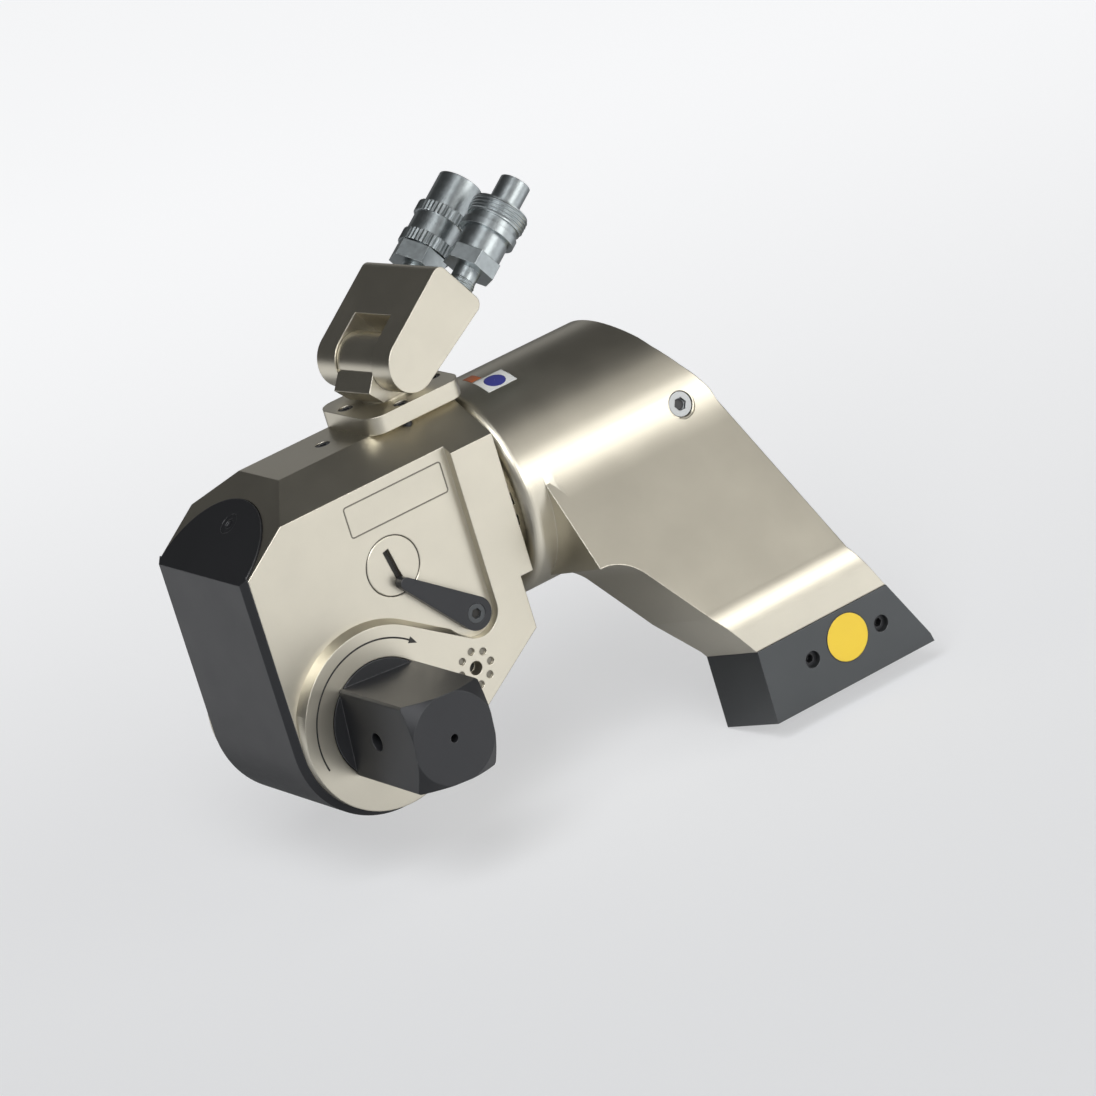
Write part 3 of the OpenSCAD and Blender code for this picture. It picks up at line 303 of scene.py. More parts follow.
def grid_faces(rows, columns, wrap_rows, wrap_columns):
    """Quads of a rows x columns grid; each wrap closes that direction on itself."""
    i = np.arange(rows if wrap_rows else rows - 1)
    j = np.arange(columns if wrap_columns else columns - 1)
    a, b = np.meshgrid(i, j, indexing="ij")
    a1, b1 = (a + 1) % rows, (b + 1) % columns
    quads = np.stack([a * columns + b, a1 * columns + b, a1 * columns + b1, a * columns + b1], -1)
    return quads.reshape(-1, 4).tolist()


def shell_faces(rows, columns):
    """Faces of a thin shell: a front grid, the back grid behind it, and the rim that joins the two."""
    count = rows * columns
    front = grid_faces(rows, columns, False, False)
    back = [[count + k for k in face[::-1]] for face in front]
    index = np.arange(count).reshape(rows, columns)
    rim = np.concatenate([index[0, :-1], index[:-1, -1], index[-1, :0:-1], index[:0:-1, 0]])
    follow = np.roll(rim, -1)
    return front + back + np.stack([rim, follow, follow + count, rim + count], 1).tolist()


def ribbon(name, path, out, width, height, closed):
    """A flat bar carried along a path.

    At each point the bar's section is a rectangle: half the width to each side of the path, along
    out x tangent, and from just inside the metal to the height above it along out. The width may
    change along the path, so an arrow head is a ribbon that narrows to nothing.
    """
    path = np.asarray(path, float)
    out = np.broadcast_to(np.asarray(out, float), path.shape)
    if closed:
        tangent = np.roll(path, -1, 0) - np.roll(path, 1, 0)
    else:
        tangent = np.gradient(path, axis=0)
    across = np.cross(out, tangent)
    across /= np.linalg.norm(across, axis=1, keepdims=True)
    half = np.broadcast_to(np.asarray(width, float) / 2, (len(path),))[:, None]
    low, high = -SUNK * out, height * out
    ring = np.stack([path - half * across + low, path - half * across + high,
                     path + half * across + high, path + half * across + low], 1)
    faces = grid_faces(len(path), 4, closed, True)
    if not closed:
        last = (len(path) - 1) * 4
        faces += [[0, 1, 2, 3], [last + 3, last + 2, last + 1, last]]
    return mesh_piece(name, ring, faces)


def rounded_rectangle(length, height, radius, steps=10):
    """Points of a rectangle whose corners are quarter circles, as an (n, 2) array about its middle."""
    turn = np.linspace(0, math.pi / 2, steps)
    corner = np.stack([np.cos(turn), np.sin(turn)], 1) * radius
    sides = []
    for k, (sx, sz) in enumerate(((1, 1), (-1, 1), (-1, -1), (1, -1))):
        c, s = math.cos(k * math.pi / 2), math.sin(k * math.pi / 2)
        turned = corner @ np.array([[c, s], [-s, c]])
        sides.append(turned + [sx * (length / 2 - radius), sz * (height / 2 - radius)])
    return np.concatenate(sides)


def on_side(flat, y):
    """Places (x, z) points on the side plane y."""
    flat = np.asarray(flat, float)
    return np.stack([flat[:, 0], np.full(len(flat), y), flat[:, 1]], 1)


def coin(name, centre, normal, radius, height, columns=96):
    """A thin round disc: the profile (radius, height) is turned once about the normal.

    The profile runs from the middle of the back, out to the rim, over a rounded edge and back to the
    middle of the front, which is domed by a fiftieth of the height.
    """
    normal = Vector(normal).normalized()
    turn = np.array(normal.to_track_quat("Z", "Y").to_matrix())
    edge = min(height, radius) * 0.4
    bow = np.linspace(0, math.pi / 2, 5)
    rim = np.stack([radius - edge + edge * np.cos(bow), height - edge + edge * np.sin(bow)], 1)
    inward = np.linspace(radius - edge, radius * 0.02, 8)[1:]
    face = np.stack([inward, height * (1 + 0.02 * (1 - inward / radius))], 1)
    profile = np.concatenate([[[radius * 0.02, -SUNK], [radius, -SUNK]], rim, face])
    angle = np.linspace(0, 2 * math.pi, columns, endpoint=False)
    x = profile[:, 0, None] * np.cos(angle)
    y = profile[:, 0, None] * np.sin(angle)
    z = np.broadcast_to(profile[:, 1, None], x.shape)
    points = np.stack([x, y, z], -1) @ turn.T + np.asarray(centre, float)
    faces = grid_faces(len(profile), columns, False, True)
    faces = [f[::-1] for f in faces]
    last = (len(profile) - 1) * columns
    faces += [list(range(columns))[::-1], [last + k for k in range(columns)]]
    return mesh_piece(name, points, faces)


def screw_thread(name, start, axis, radius, depth, pitch, length, turns_in=0.0003):
    """A screw thread as one closed surface.

    Over angle t and height h the radius is r + depth x (1/2 + 1/2 cos(2 pi (h / pitch - t / 2 pi))), so
    the ridge climbs one pitch in a turn; it fades to the root at both ends and closes on itself inside.
    """
    axis = Vector(axis).normalized()
    turn = np.array(axis.to_track_quat("Z", "Y").to_matrix())
    columns, rows = 96, max(12, int(length / pitch * 12))
    angle = np.linspace(0, 2 * math.pi, columns, endpoint=False)
    h = np.linspace(0, length, rows)
    wave = 0.5 + 0.5 * np.cos(2 * math.pi * (h[:, None] / pitch - angle[None] / (2 * math.pi)))
    fade = np.clip(np.minimum(h, length - h) / (0.35 * pitch), 0, 1)[:, None]
    r = radius + depth * wave * fade
    inside = np.full((1, columns), radius - turns_in)
    r = np.concatenate([inside, r, inside])
    z = np.concatenate([[0], h, [length]])[:, None] * np.ones((1, columns))
    points = np.stack([r * np.cos(angle), r * np.sin(angle), z], -1) @ turn.T + np.asarray(start, float)
    faces = [f[::-1] for f in grid_faces(rows + 2, columns, True, True)]
    return mesh_piece(name, points, faces, smooth=True)


def coil_spring(name, middle, radius, wire, low, high, turns, steps=40, columns=12):
    """A round wire wound about the Y direction.

    At turn t the wire's middle is at radius r and angle t, and climbs evenly from the low end to the
    high end; its section is a circle that lies across the radius and the climb. Both ends are capped.
    """
    t = np.linspace(0, 2 * math.pi * turns, int(turns * steps) + 1)[:, None]
    a = np.linspace(0, 2 * math.pi, columns, endpoint=False)
    r = radius + wire * np.cos(a)
    climb = low + wire + (high - low - 2 * wire) * t / t[-1] + wire * np.sin(a)
    points = np.stack([middle[0] + r * np.cos(t), climb, middle[1] + r * np.sin(t)], -1)
    faces = [f[::-1] for f in grid_faces(len(t), columns, False, True)]
    last = (len(t) - 1) * columns
    faces += [list(range(columns))[::-1], [last + k for k in range(columns)]]
    return mesh_piece(name, points, faces, smooth=True)


def wrapped_patch(name, x0, x1, turn0, turn1, axis_z, radius, height, rows=24, columns=8):
    """A thin sticker on the sleeve: a rectangle in (x, angle) laid on a cylinder about the line y = 0.

    A point at angle t lies at y = -r cos t, z = axis + r sin t. The sticker has a front at the height
    above the metal, and a back just inside it, joined round the rim.
    """
    t, x = np.meshgrid(np.linspace(turn0, turn1, rows), np.linspace(x0, x1, columns), indexing="ij")

    def skin(r):
        return np.stack([x, -r * np.cos(t), axis_z + r * np.sin(t)], -1).reshape(-1, 3)

    faces = [face[::-1] for face in shell_faces(rows, columns)]
    return mesh_piece(name, np.concatenate([skin(radius + height), skin(radius - SUNK)]), faces)


def wrapped_dot(name, x, turn, half, axis_z, radius, height, rows=8, columns=72):
    """A thin round dot on the sleeve.

    At share u of the radius and angle a the dot's point is x + u half cos a along the sleeve and
    turn + u half / r sin a about it, so it stays round when the sleeve is unrolled.
    """
    a = np.linspace(0, 2 * math.pi, columns, endpoint=False)
    u = np.linspace(0.02, 1, rows)[:, None]
    along, about = x + u * half * np.cos(a), turn + u * half / radius * np.sin(a)

    def skin(r):
        return np.stack([along, -r * np.cos(about), axis_z + r * np.sin(about)], -1)

    rings = np.concatenate([skin(radius + height), skin(radius - SUNK)[::-1]])
    return mesh_piece(name, rings, grid_faces(2 * rows, columns, True, True))


def hollow_blend(name, hollow, x0, ends, spot, clear, rows=64):
    """A hollow round that runs from the sleeve's cylinder over into the flat slab of the arm.

    With the sleeve's radius r and the slab at the reach p along its turn a, the middle of a hollow of the
    radius h lies at R = r + h from the sleeve's axis, at the turn a0 = a - acos((p + h) / R). The round is
    R (cos a0, sin a0) - h (cos t, sin t) for t from a0 to a, as distances to the front and up from that
    axis. It ends along X at a line through the two (height, x) pairs. It sinks into the metal round the
    screw's spot, where its columns are closer, and where it starts. The back lies deeper, joined round
    the rim.
    """
    far = SLEEVE_RADIUS + hollow
    start = SLAB_TURN - math.acos((SLAB_REACH + hollow) / far)
    before, after = ((spot[0] + side * 1.5 * clear - x0) / (ends[0][1] - x0) for side in (-1, 1))
    along = np.concatenate([np.linspace(0, before, 48, endpoint=False),
                            np.linspace(before, after, 80, endpoint=False), np.linspace(after, 1, 8)])
    t, share = np.meshgrid(np.linspace(start, SLAB_TURN, rows), along, indexing="ij")
    up = SLEEVE_Z + far * math.sin(start) - hollow * np.sin(t)
    (z0, e0), (z1, e1) = ends
    x = x0 + share * (e0 + (up - z0) * (e1 - e0) / (z1 - z0) - x0)
    near = np.hypot(x - spot[0], (up - spot[1]) / math.cos(SLAB_TURN / 2)) - clear
    steps = np.clip(np.stack([near / (0.15 * clear), (x - x0) / BLEND_FADE]), 0, 1)
    sink = ((1 - steps * steps * (3 - 2 * steps)) * BLEND_SINKS[:, None, None]).max(0)

    def skin(deep):
        h = hollow + deep
        return np.stack([x, h * np.cos(t) - far * math.cos(start),
                         SLEEVE_Z + far * math.sin(start) - h * np.sin(t)], -1).reshape(-1, 3)

    points = np.concatenate([skin(sink), skin(sink + BLEND_BACK)])
    return mesh_piece(name, points, shell_faces(rows, len(along)))


def boss_step(width, steps=96):
    """Path of the step round the boss, its outward direction and the slope's width, as arrays.

    The step is an arc about the drive axis up to the turn a, and then the straight neck that touches
    the boss and the notch of the lever: a = b + acos((r + n) / d), with the notch's middle at the distance
    d and the turn b, and the two radii r and n. The slope narrows toward the nose and toward the lever.
    """
    distance = np.linalg.norm(NOTCH_CENTRE)
    lean = math.atan2(NOTCH_CENTRE[1], NOTCH_CENTRE[0])
    neck = lean + math.acos((BOSS_RADIUS + NOTCH_RADIUS) / distance)
    turn = np.linspace(NOSE_TURN, neck, steps)
    round_out = np.stack([np.cos(turn), np.sin(turn)], 1)
    toward = round_out[-1]
    end = NOTCH_CENTRE - NOTCH_RADIUS * toward
    share = np.linspace(0, 1, 33)[1:, None]
    straight = (1 - share) * BOSS_RADIUS * toward + share * end
    left = np.linalg.norm(end - straight, axis=1)
    narrow = np.concatenate([0.5 * BOSS_RADIUS * (1 + np.cos(turn)),
                             0.6 * (np.hypot(NOTCH_RADIUS, left) - 0.94 * NOTCH_RADIUS)])
    out = np.concatenate([round_out, np.broadcast_to(toward, straight.shape)])
    return np.concatenate([BOSS_RADIUS * round_out, straight]), out, np.minimum(width, narrow)


def step_slope(name, path, out, width):
    """A slope from the top of a step down to the floor beside it.

    Its section is a triangle: the step's edge, the floor at the width outward, and a point in the metal.
    """
    edge = on_side(path, PAD_Y + SLOPE_CLEAR)
    foot = on_side(path + out * width[:, None], RECESS_Y - SLOPE_CLEAR)
    root = on_side(path - out * ROOT_INSIDE, RECESS_Y + ROOT_UNDER)
    ring = np.stack([edge, foot, root], 1)
    last = (len(path) - 1) * 3
    faces = grid_faces(len(path), 3, False, True) + [[0, 1, 2], [last + 2, last + 1, last]]
    return mesh_piece(name, ring, faces)


# Shader groups and finishes


def group_socket(group, name, in_out, kind, default=None):
    socket = group.interface.new_socket(name=name, in_out=in_out, socket_type=kind)
    if default is not None:
        socket.default_value = default


def edge_group():
    """Soft edges: where the rounded normal leaves the flat one, an edge is near."""
    if "soft_edges" in bpy.data.node_groups:
        return bpy.data.node_groups["soft_edges"]
    g = bpy.data.node_groups.new("soft_edges", "ShaderNodeTree")
    group_socket(g, "Radius", "INPUT", "NodeSocketFloat", 0.0006)
    group_socket(g, "Gain", "INPUT", "NodeSocketFloat", 3.0)
    group_socket(g, "Break-up", "INPUT", "NodeSocketFloat", 300.0)
    group_socket(g, "Mask", "OUTPUT", "NodeSocketFloat")
    group_socket(g, "Normal", "OUTPUT", "NodeSocketVector")
    n, link = g.nodes.new, g.links.new
    given, out = n("NodeGroupInput"), n("NodeGroupOutput")
    bevel, flat = n("ShaderNodeBevel"), n("ShaderNodeNewGeometry")
    bevel.samples = 6
    link(given.outputs["Radius"], bevel.inputs["Radius"])
    dot = n("ShaderNodeVectorMath")
    dot.operation = "DOT_PRODUCT"
    link(bevel.outputs[0], dot.inputs[0])
    link(flat.outputs["Normal"], dot.inputs[1])
    away = n("ShaderNodeMath")
    away.operation = "SUBTRACT"
    away.inputs[0].default_value = 1.0
    link(dot.outputs["Value"], away.inputs[1])
    gain = n("ShaderNodeMath")
    gain.operation = "MULTIPLY"
    gain.use_clamp = True
    link(away.outputs[0], gain.inputs[0])
    link(given.outputs["Gain"], gain.inputs[1])
    place, noise = n("ShaderNodeTexCoord"), n("ShaderNodeTexNoise")
    noise.inputs["Detail"].default_value = 3.0
    link(place.outputs["Object"], noise.inputs["Vector"])
    link(given.outputs["Break-up"], noise.inputs["Scale"])
    rough = n("ShaderNodeMapRange")
    rough.inputs["From Min"].default_value = 0.3
    rough.inputs["From Max"].default_value = 0.62
    rough.inputs["To Min"].default_value = 0.35
    link(noise.outputs["Fac"], rough.inputs["Value"])
    mask = n("ShaderNodeMath")
    mask.operation = "MULTIPLY"
    link(gain.outputs[0], mask.inputs[0])
    link(rough.outputs["Result"], mask.inputs[1])
    link(mask.outputs[0], out.inputs["Mask"])
    link(bevel.outputs[0], out.inputs["Normal"])
    return g


def grain_group():
    """Satin grain: a fine blasted grain for the bump, and a slow cloud for the gloss."""
    if "satin_grain" in bpy.data.node_groups:
        return bpy.data.node_groups["satin_grain"]
    g = bpy.data.node_groups.new("satin_grain", "ShaderNodeTree")
    group_socket(g, "Grain", "INPUT", "NodeSocketFloat", 1800.0)
    group_socket(g, "Cloud", "INPUT", "NodeSocketFloat", 45.0)
    group_socket(g, "Height", "OUTPUT", "NodeSocketFloat")
    group_socket(g, "Cloud", "OUTPUT", "NodeSocketFloat")
    n, link = g.nodes.new, g.links.new
    given, out, place = n("NodeGroupInput"), n("NodeGroupOutput"), n("ShaderNodeTexCoord")
    for name, detail, end in (("Grain", 2.0, "Height"), ("Cloud", 5.0, "Cloud")):
        noise = n("ShaderNodeTexNoise")
        noise.inputs["Detail"].default_value = detail
        link(place.outputs["Object"], noise.inputs["Vector"])
        link(given.outputs[name], noise.inputs["Scale"])
        link(noise.outputs["Fac"], out.inputs[end])
    return g


def finish(name, colour, edge_wear_and_highlight, metallic, roughness, grain, bump, edge_gain, cloud=45.0, tint=0.06,
           radius=None):
    """A metal or plastic finish: grain, soft edges, a lighter colour near the edges that is partly rubbed
    wear and partly painted highlight, and a slow change of gloss.
    """
    material = bpy.data.materials.new(name)
    material.use_nodes = True
    tree = material.node_tree
    n, link = tree.nodes.new, tree.links.new
    shader = tree.nodes["Principled BSDF"]
    shader.inputs["Metallic"].default_value = metallic
    edges = n("ShaderNodeGroup")
    edges.node_tree = edge_group()
    edges.inputs["Radius"].default_value = sizes().edge_radius if radius is None else radius
    edges.inputs["Gain"].default_value = edge_gain
    grains = n("ShaderNodeGroup")
    grains.node_tree = grain_group()
    grains.inputs["Grain"].default_value = grain
    grains.inputs["Cloud"].default_value = cloud
    shade = n("ShaderNodeMix")
    shade.data_type = "RGBA"
    shade.inputs["A"].default_value = (*[c * (1 - tint) for c in colour], 1)
    shade.inputs["B"].default_value = (*[min(1, c * (1 + tint)) for c in colour], 1)
    link(grains.outputs["Cloud"], shade.inputs["Factor"])
    # Lighter colour near the edges: partly rubbed wear, partly painted highlight
    rubbed = n("ShaderNodeMix")
    rubbed.data_type = "RGBA"
    rubbed.inputs["B"].default_value = (*edge_wear_and_highlight, 1)
    link(edges.outputs["Mask"], rubbed.inputs["Factor"])
    link(shade.outputs["Result"], rubbed.inputs["A"])
    link(rubbed.outputs["Result"], shader.inputs["Base Color"])
    gloss = n("ShaderNodeMapRange")
    gloss.inputs["From Min"].default_value = 0.3
    gloss.inputs["From Max"].default_value = 0.7
    gloss.inputs["To Min"].default_value = roughness * 0.94
    gloss.inputs["To Max"].default_value = roughness * 1.06
    link(grains.outputs["Cloud"], gloss.inputs["Value"])
    link(gloss.outputs["Result"], shader.inputs["Roughness"])
    relief = n("ShaderNodeBump")
    relief.inputs["Strength"].default_value = bump
    relief.inputs["Distance"].default_value = 0.0001
    link(grains.outputs["Height"], relief.inputs["Height"])
    link(edges.outputs["Normal"], relief.inputs["Normal"])
    link(relief.outputs["Normal"], shader.inputs["Normal"])
    return material


def paint(nodes, material):
    for name in nodes:
        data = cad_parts[name].data
        data.materials.clear()
        data.materials.append(material)


def place_piece(piece, body, material):
    piece.data.materials.append(material)
    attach(piece, body)
    return piece


class WRENCH_OT_finish_metal(bpy.types.Operator):
    """Gives every solid its plated, blackened, ground or cast finish."""

    bl_idname = "wrench.finish_metal"
    bl_label = "Finish metal"

    def execute(self, context):
        c = colours()
        black = tuple(c.black_oxide)
        nickel = (tuple(c.nickel), (0.74, 0.70, 0.62), 1.0, 0.36, 1700.0, 0.17, 2.5)
        paint(NICKEL_NODES, finish("satin_nickel", *nickel, tint=0.08))
        finish("seamless_nickel", *nickel, tint=0.08, radius=0.0)
        paint(BLACK_NODES, finish("black_oxide", black, tuple(c.worn_edge_and_highlight), 0.35, 0.40,
                                  1500.0, 0.16, 2.2, tint=0.12))
        paint(BLUED_NODES, finish("blued_steel", tuple(c.blued), tuple(c.worn_edge_and_highlight), 0.8, 0.38,
                                  1500.0, 0.14, 1.6, tint=0.10))
        paint(ZINC_NODES, finish("bright_zinc", tuple(c.zinc), (0.6, 0.63, 0.64), 1.0, 0.34,
                                 1100.0, 0.35, 2.0, cloud=420.0, tint=0.22, radius=0.0004))
        paint(STEEL_NODES, finish("ground_steel", (0.6, 0.6, 0.6), (0.75, 0.75, 0.75), 1.0, 0.28,
                                  1400.0, 0.12, 2.0, radius=0.0003))
        paint(DARK_NODES, finish("hardened_steel", (0.16, 0.16, 0.165), (0.4, 0.4, 0.4), 0.9, 0.42,
                                 1300.0, 0.2, 2.0))
        paint(BRONZE_NODES, finish("bearing_bronze", (0.52, 0.34, 0.14), (0.66, 0.46, 0.22), 1.0, 0.33,
                                   1200.0, 0.15, 2.0))
        paint(CHROME_NODES, finish("hard_chrome", (0.72, 0.73, 0.75), (0.8, 0.8, 0.82), 1.0, 0.12,
                                   800.0, 0.04, 1.0))
        paint(SCREW_NODES, finish("plated_screw", (0.30, 0.31, 0.315), (0.5, 0.5, 0.5), 1.0, 0.36,
                                  1300.0, 0.2, 2.0, radius=0.0003))
        paint(SEAL_NODES, finish("seal_rubber", (0.022, 0.022, 0.022), (0.05, 0.05, 0.05), 0.0, 0.62,
                                 900.0, 0.3, 1.0))
        return {"FINISHED"}


class WRENCH_OT_engrave_marks(bpy.types.Operator):
    """Adds the turning arc with its arrow and the dark seam, and painted shade: on the bare plate outline,
    and as dark floors in the holes, in the lever screw's socket and in the plug's slot.
    """

    bl_idname = "wrench.engrave_marks"
    bl_label = "Engrave marks"

    def execute(self, context):
        s = sizes()
        # Dark fill of the engraved arc, arrow and seam, and also painted shade on the floors of the middle
        # hole, the lever screw's socket and the plug's slot
        ink_and_shade = finish("engraved_line_and_shade", (0.035, 0.033, 0.03), (0.05, 0.05, 0.05), 0.3, 0.55,
                     900.0, 0.2, 0.5)
        # Painted shade: a brownish grey that stands for the shade along the plate's edge and in the small
        # holes
        groove_shade = finish("painted_groove_shade", (0.24, 0.225, 0.19), (0.3, 0.28, 0.24), 0.8, 0.5,
                        900.0, 0.2, 0.5)
        # Painted shade: the plate outline is a thin line in this grey
        plate = rounded_rectangle(*s.plate_size, s.plate_corner) + np.array(s.plate_centre)
        place_piece(ribbon("plate_outline_shade", on_side(plate, RECESS_Y), DRIVE_SIDE, s.line_width * 1.3,
                           s.line_height, True), "body", groove_shade)
        turn = np.radians(np.linspace(*ARC_TURN, 120))
        arc = s.arc_radius * np.stack([np.cos(turn), np.sin(turn)], 1)
        place_piece(ribbon("turning_arc", on_side(arc, PAD_Y), DRIVE_SIDE, s.line_width * 1.5,
                           s.line_height, False), "body", ink_and_shade)
        tip = np.radians(np.linspace(*ARROW_TURN, 8))
        head = s.arc_radius * np.stack([np.cos(tip), np.sin(tip)], 1)
        width = np.linspace(*ARROW_WIDTH, 8)
        place_piece(ribbon("turning_arrow", on_side(head, PAD_Y), DRIVE_SIDE, width, s.line_height, False),
                    "body", ink_and_shade)
        low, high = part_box("access_plug")
        middle, radius = (low + high) / 2, (high.x - low.x) / 2
        around = np.linspace(0, 2 * math.pi, 96, endpoint=False)
        seam = np.stack([middle.x + radius * np.cos(around), middle.z + radius * np.sin(around)], 1)
        place_piece(ribbon("plug_seam", on_side(seam, RECESS_Y + s.seam_depth), DRIVE_SIDE, s.line_width,
                           s.line_height, True), "body", ink_and_shade)
        hole = (s.rosette_centre[0], PAD_Y + s.rosette_depth, s.rosette_centre[1])
        # Painted shade: a dark disc on the floor of the middle hole
        place_piece(coin("rosette_hole_shade", hole, DRIVE_SIDE, s.rosette_shade, FILM),
                    "body", ink_and_shade)
        # Painted shade: a darker disc on the floor of each small hole
        for i in range(8):
            turn = i * math.pi / 4
            dimple = (hole[0] + s.rosette_radius * math.cos(turn), PAD_Y + s.dimple_depth,
                      hole[2] + s.rosette_radius * math.sin(turn))
            place_piece(coin(f"rosette_dimple_shade_{i + 1}", dimple, DRIVE_SIDE, s.dimple_shade, FILM, 32),
                        "body", groove_shade)
        low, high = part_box("lever_screw")
        socket = ((low.x + high.x) / 2, low.y + s.lever_socket_depth, (low.z + high.z) / 2)
        # Painted shade: a dark disc on the socket's floor
        place_piece(coin("lever_socket_shade", socket, DRIVE_SIDE, s.lever_socket_shade, FILM),
                    "lever", ink_and_shade)
        # Painted shade: a dark strip on the floor of the plug's slot
        slope = math.radians(s.slot_turn)
        along = np.array([[-math.sin(slope), math.cos(slope)]]) * s.slot_shade_length / 2
        slot = np.linspace(-1, 1, 9)[:, None] * along + [middle.x, middle.z]
        place_piece(ribbon("slot_floor_shade", on_side(slot, RECESS_Y + s.slot_depth), DRIVE_SIDE, s.slot_shade_width,
                           s.line_height, False), "body", ink_and_shade)
        return {"FINISHED"}


class WRENCH_OT_stick_discs(bpy.types.Operator):
    """Adds the yellow disc on the foot, the patch on the sleeve and painted shade: a dark disc on the floor
    of the lock screw's socket.
    """

    bl_idname = "wrench.stick_discs"
    bl_label = "Stick discs"

    def execute(self, context):
        s = sizes()
        yellow = finish("yellow_film", tuple(colours().disc), (0.9, 0.7, 0.1), 0.0, 0.36, 700.0, 0.05, 0.4)
        # Dark film of the rim under the yellow disc, and also painted shade in the lock screw's socket
        dark = finish("dark_film_and_shade", (0.02, 0.02, 0.022), (0.05, 0.05, 0.05), 0.0, 0.4, 700.0, 0.05, 0.4)
        x, z = s.disc_centre
        place_piece(coin("foot_disc_rim", (x, FOOT_Y, z), DRIVE_SIDE, s.disc_radius, 2 * FILM),
                    "arm", dark)
        place_piece(coin("foot_disc", (x, FOOT_Y - DISC_LIFT, z), DRIVE_SIDE, s.disc_radius * DISC_SHARE,
                         2 * FILM), "arm", yellow)
        low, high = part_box("arm_lock_screw")
        facing = np.array([0, -math.cos(LOCK_TURN), math.sin(LOCK_TURN)])
        socket = np.array([(low.x + high.x) / 2, 0, SLEEVE_Z]) + LOCK_FLOOR * facing
        # Painted shade: a dark disc on the floor of the lock screw's socket
        place_piece(coin("lock_socket_shade", socket, facing, s.lock_socket_shade, FILM),
                    "arm", dark)
        white = finish("white_film", (0.72, 0.73, 0.71), (0.75, 0.75, 0.74), 0.0, 0.4, 700.0, 0.05, 0.2)
        blue = finish("blue_film", (0.045, 0.05, 0.26), (0.1, 0.1, 0.3), 0.0, 0.4, 700.0, 0.05, 0.2)
        orange = finish("orange_film", (0.52, 0.13, 0.03), (0.6, 0.2, 0.08), 0.0, 0.4, 700.0, 0.05, 0.2)
        x0, x1 = s.patch_along
        low, high = s.patch_turn
        sleeve = (SLEEVE_Z, SLEEVE_RADIUS)
        place_piece(wrapped_patch("sleeve_patch", x0, x1, low, high, *sleeve, FILM), "arm", white)
        place_piece(wrapped_dot("sleeve_dot", (x0 + x1) / 2, (low + high) / 2, s.dot_radius, *sleeve,
                                DOT_FILM), "arm", blue)
        strip = (high + s.strip_turn[0], high + s.strip_turn[1])
        place_piece(wrapped_patch("sleeve_strip", x0, x0 + s.strip_length, *strip, *sleeve, FILM),
                    "arm", orange)
        return {"FINISHED"}


class WRENCH_OT_blend_steps(bpy.types.Operator):
    """Adds the hollow round between the arm's sleeve and slab, and the slope of the step round the boss."""

    bl_idname = "wrench.blend_steps"
    bl_label = "Blend steps"

    def execute(self, context):
        nickel = bpy.data.materials.get("seamless_nickel")
        if nickel is None:
            raise RuntimeError("Finish metal comes first: the rounds take their nickel.")
        s = sizes()
        place_piece(step_slope("boss_slope", *boss_step(s.slope_width)), "body", nickel)
        low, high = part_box("arm_lock_screw")
        spot = ((low.x + high.x) / 2, SLEEVE_Z + SLEEVE_RADIUS * math.sin(LOCK_TURN))
        place_piece(hollow_blend("sleeve_blend", s.blend_radius, s.blend_start, BLEND_ENDS, spot,
                                 s.blend_clear), "arm", nickel)
        return {"FINISHED"}


class WRENCH_OT_cut_threads(bpy.types.Operator):
    """Adds the screw threads on the plug coupler's ring and on the two stubs."""

    bl_idname = "wrench.cut_threads"
    bl_label = "Cut threads"

    def execute(self, context):
        zinc = bpy.data.materials.get("bright_zinc")
        if zinc is None:
            raise RuntimeError("Finish metal comes first: the thread takes its zinc.")
        for name, side, along, radius, depth, pitch, length in THREADS:
            start = YOKE_PIVOT + np.array([COUPLER_OFFSET, side * COUPLER_SPREAD, along]) @ YOKE_AXES
            place_piece(screw_thread(name, start, YOKE_AXES[2], radius, depth, pitch, length),
                        "yoke", zinc)
        return {"FINISHED"}


class WRENCH_OT_wind_spring(bpy.types.Operator):
    """Winds the push button's spring in place of the solid one."""

    bl_idname = "wrench.wind_spring"
    bl_label = "Wind spring"

    def execute(self, context):
        steel = bpy.data.materials.get("ground_steel")
        if steel is None:
            raise RuntimeError("Finish metal comes first: the spring takes its steel.")
        low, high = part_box("button_spring")
        middle, outer = (low + high) / 2, (high.x - low.x) / 2
        wire, turns = sizes().spring_wire, 4
        spring = coil_spring("button_spring_coil", (middle.x, middle.z), outer - wire, wire, low.y, high.y,
                             turns)
        place_piece(spring, "drive", steel)
        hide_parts("button_spring")
        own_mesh(spring)
        return {"FINISHED"}


def look_axes(azimuth, elevation, roll):
    """Right, up and backward axes of a camera that looks from the given angles and is then rolled."""
    a, e, r = math.radians(azimuth), math.radians(elevation), math.radians(roll)
    right = Vector((math.cos(a), math.sin(a), 0))
    up = Vector((-math.sin(a) * math.sin(e), math.cos(a) * math.sin(e), math.cos(e)))
    back = Vector((math.sin(a) * math.cos(e), -math.cos(a) * math.cos(e), math.sin(e)))
    return (math.cos(r) * right - math.sin(r) * up, math.sin(r) * right + math.cos(r) * up, back)


# Camera: its axes, its place along them, and its focal length in pixels of the square picture
CAMERA = look_axes(-28.526, 18.89, 16.974)
CAMERA_PLACE = (0.08853, 0.06462, 2.56839)
FOCAL_PIXELS, PICTURE_PIXELS, SENSOR = 6149.54, 1096, 36.0

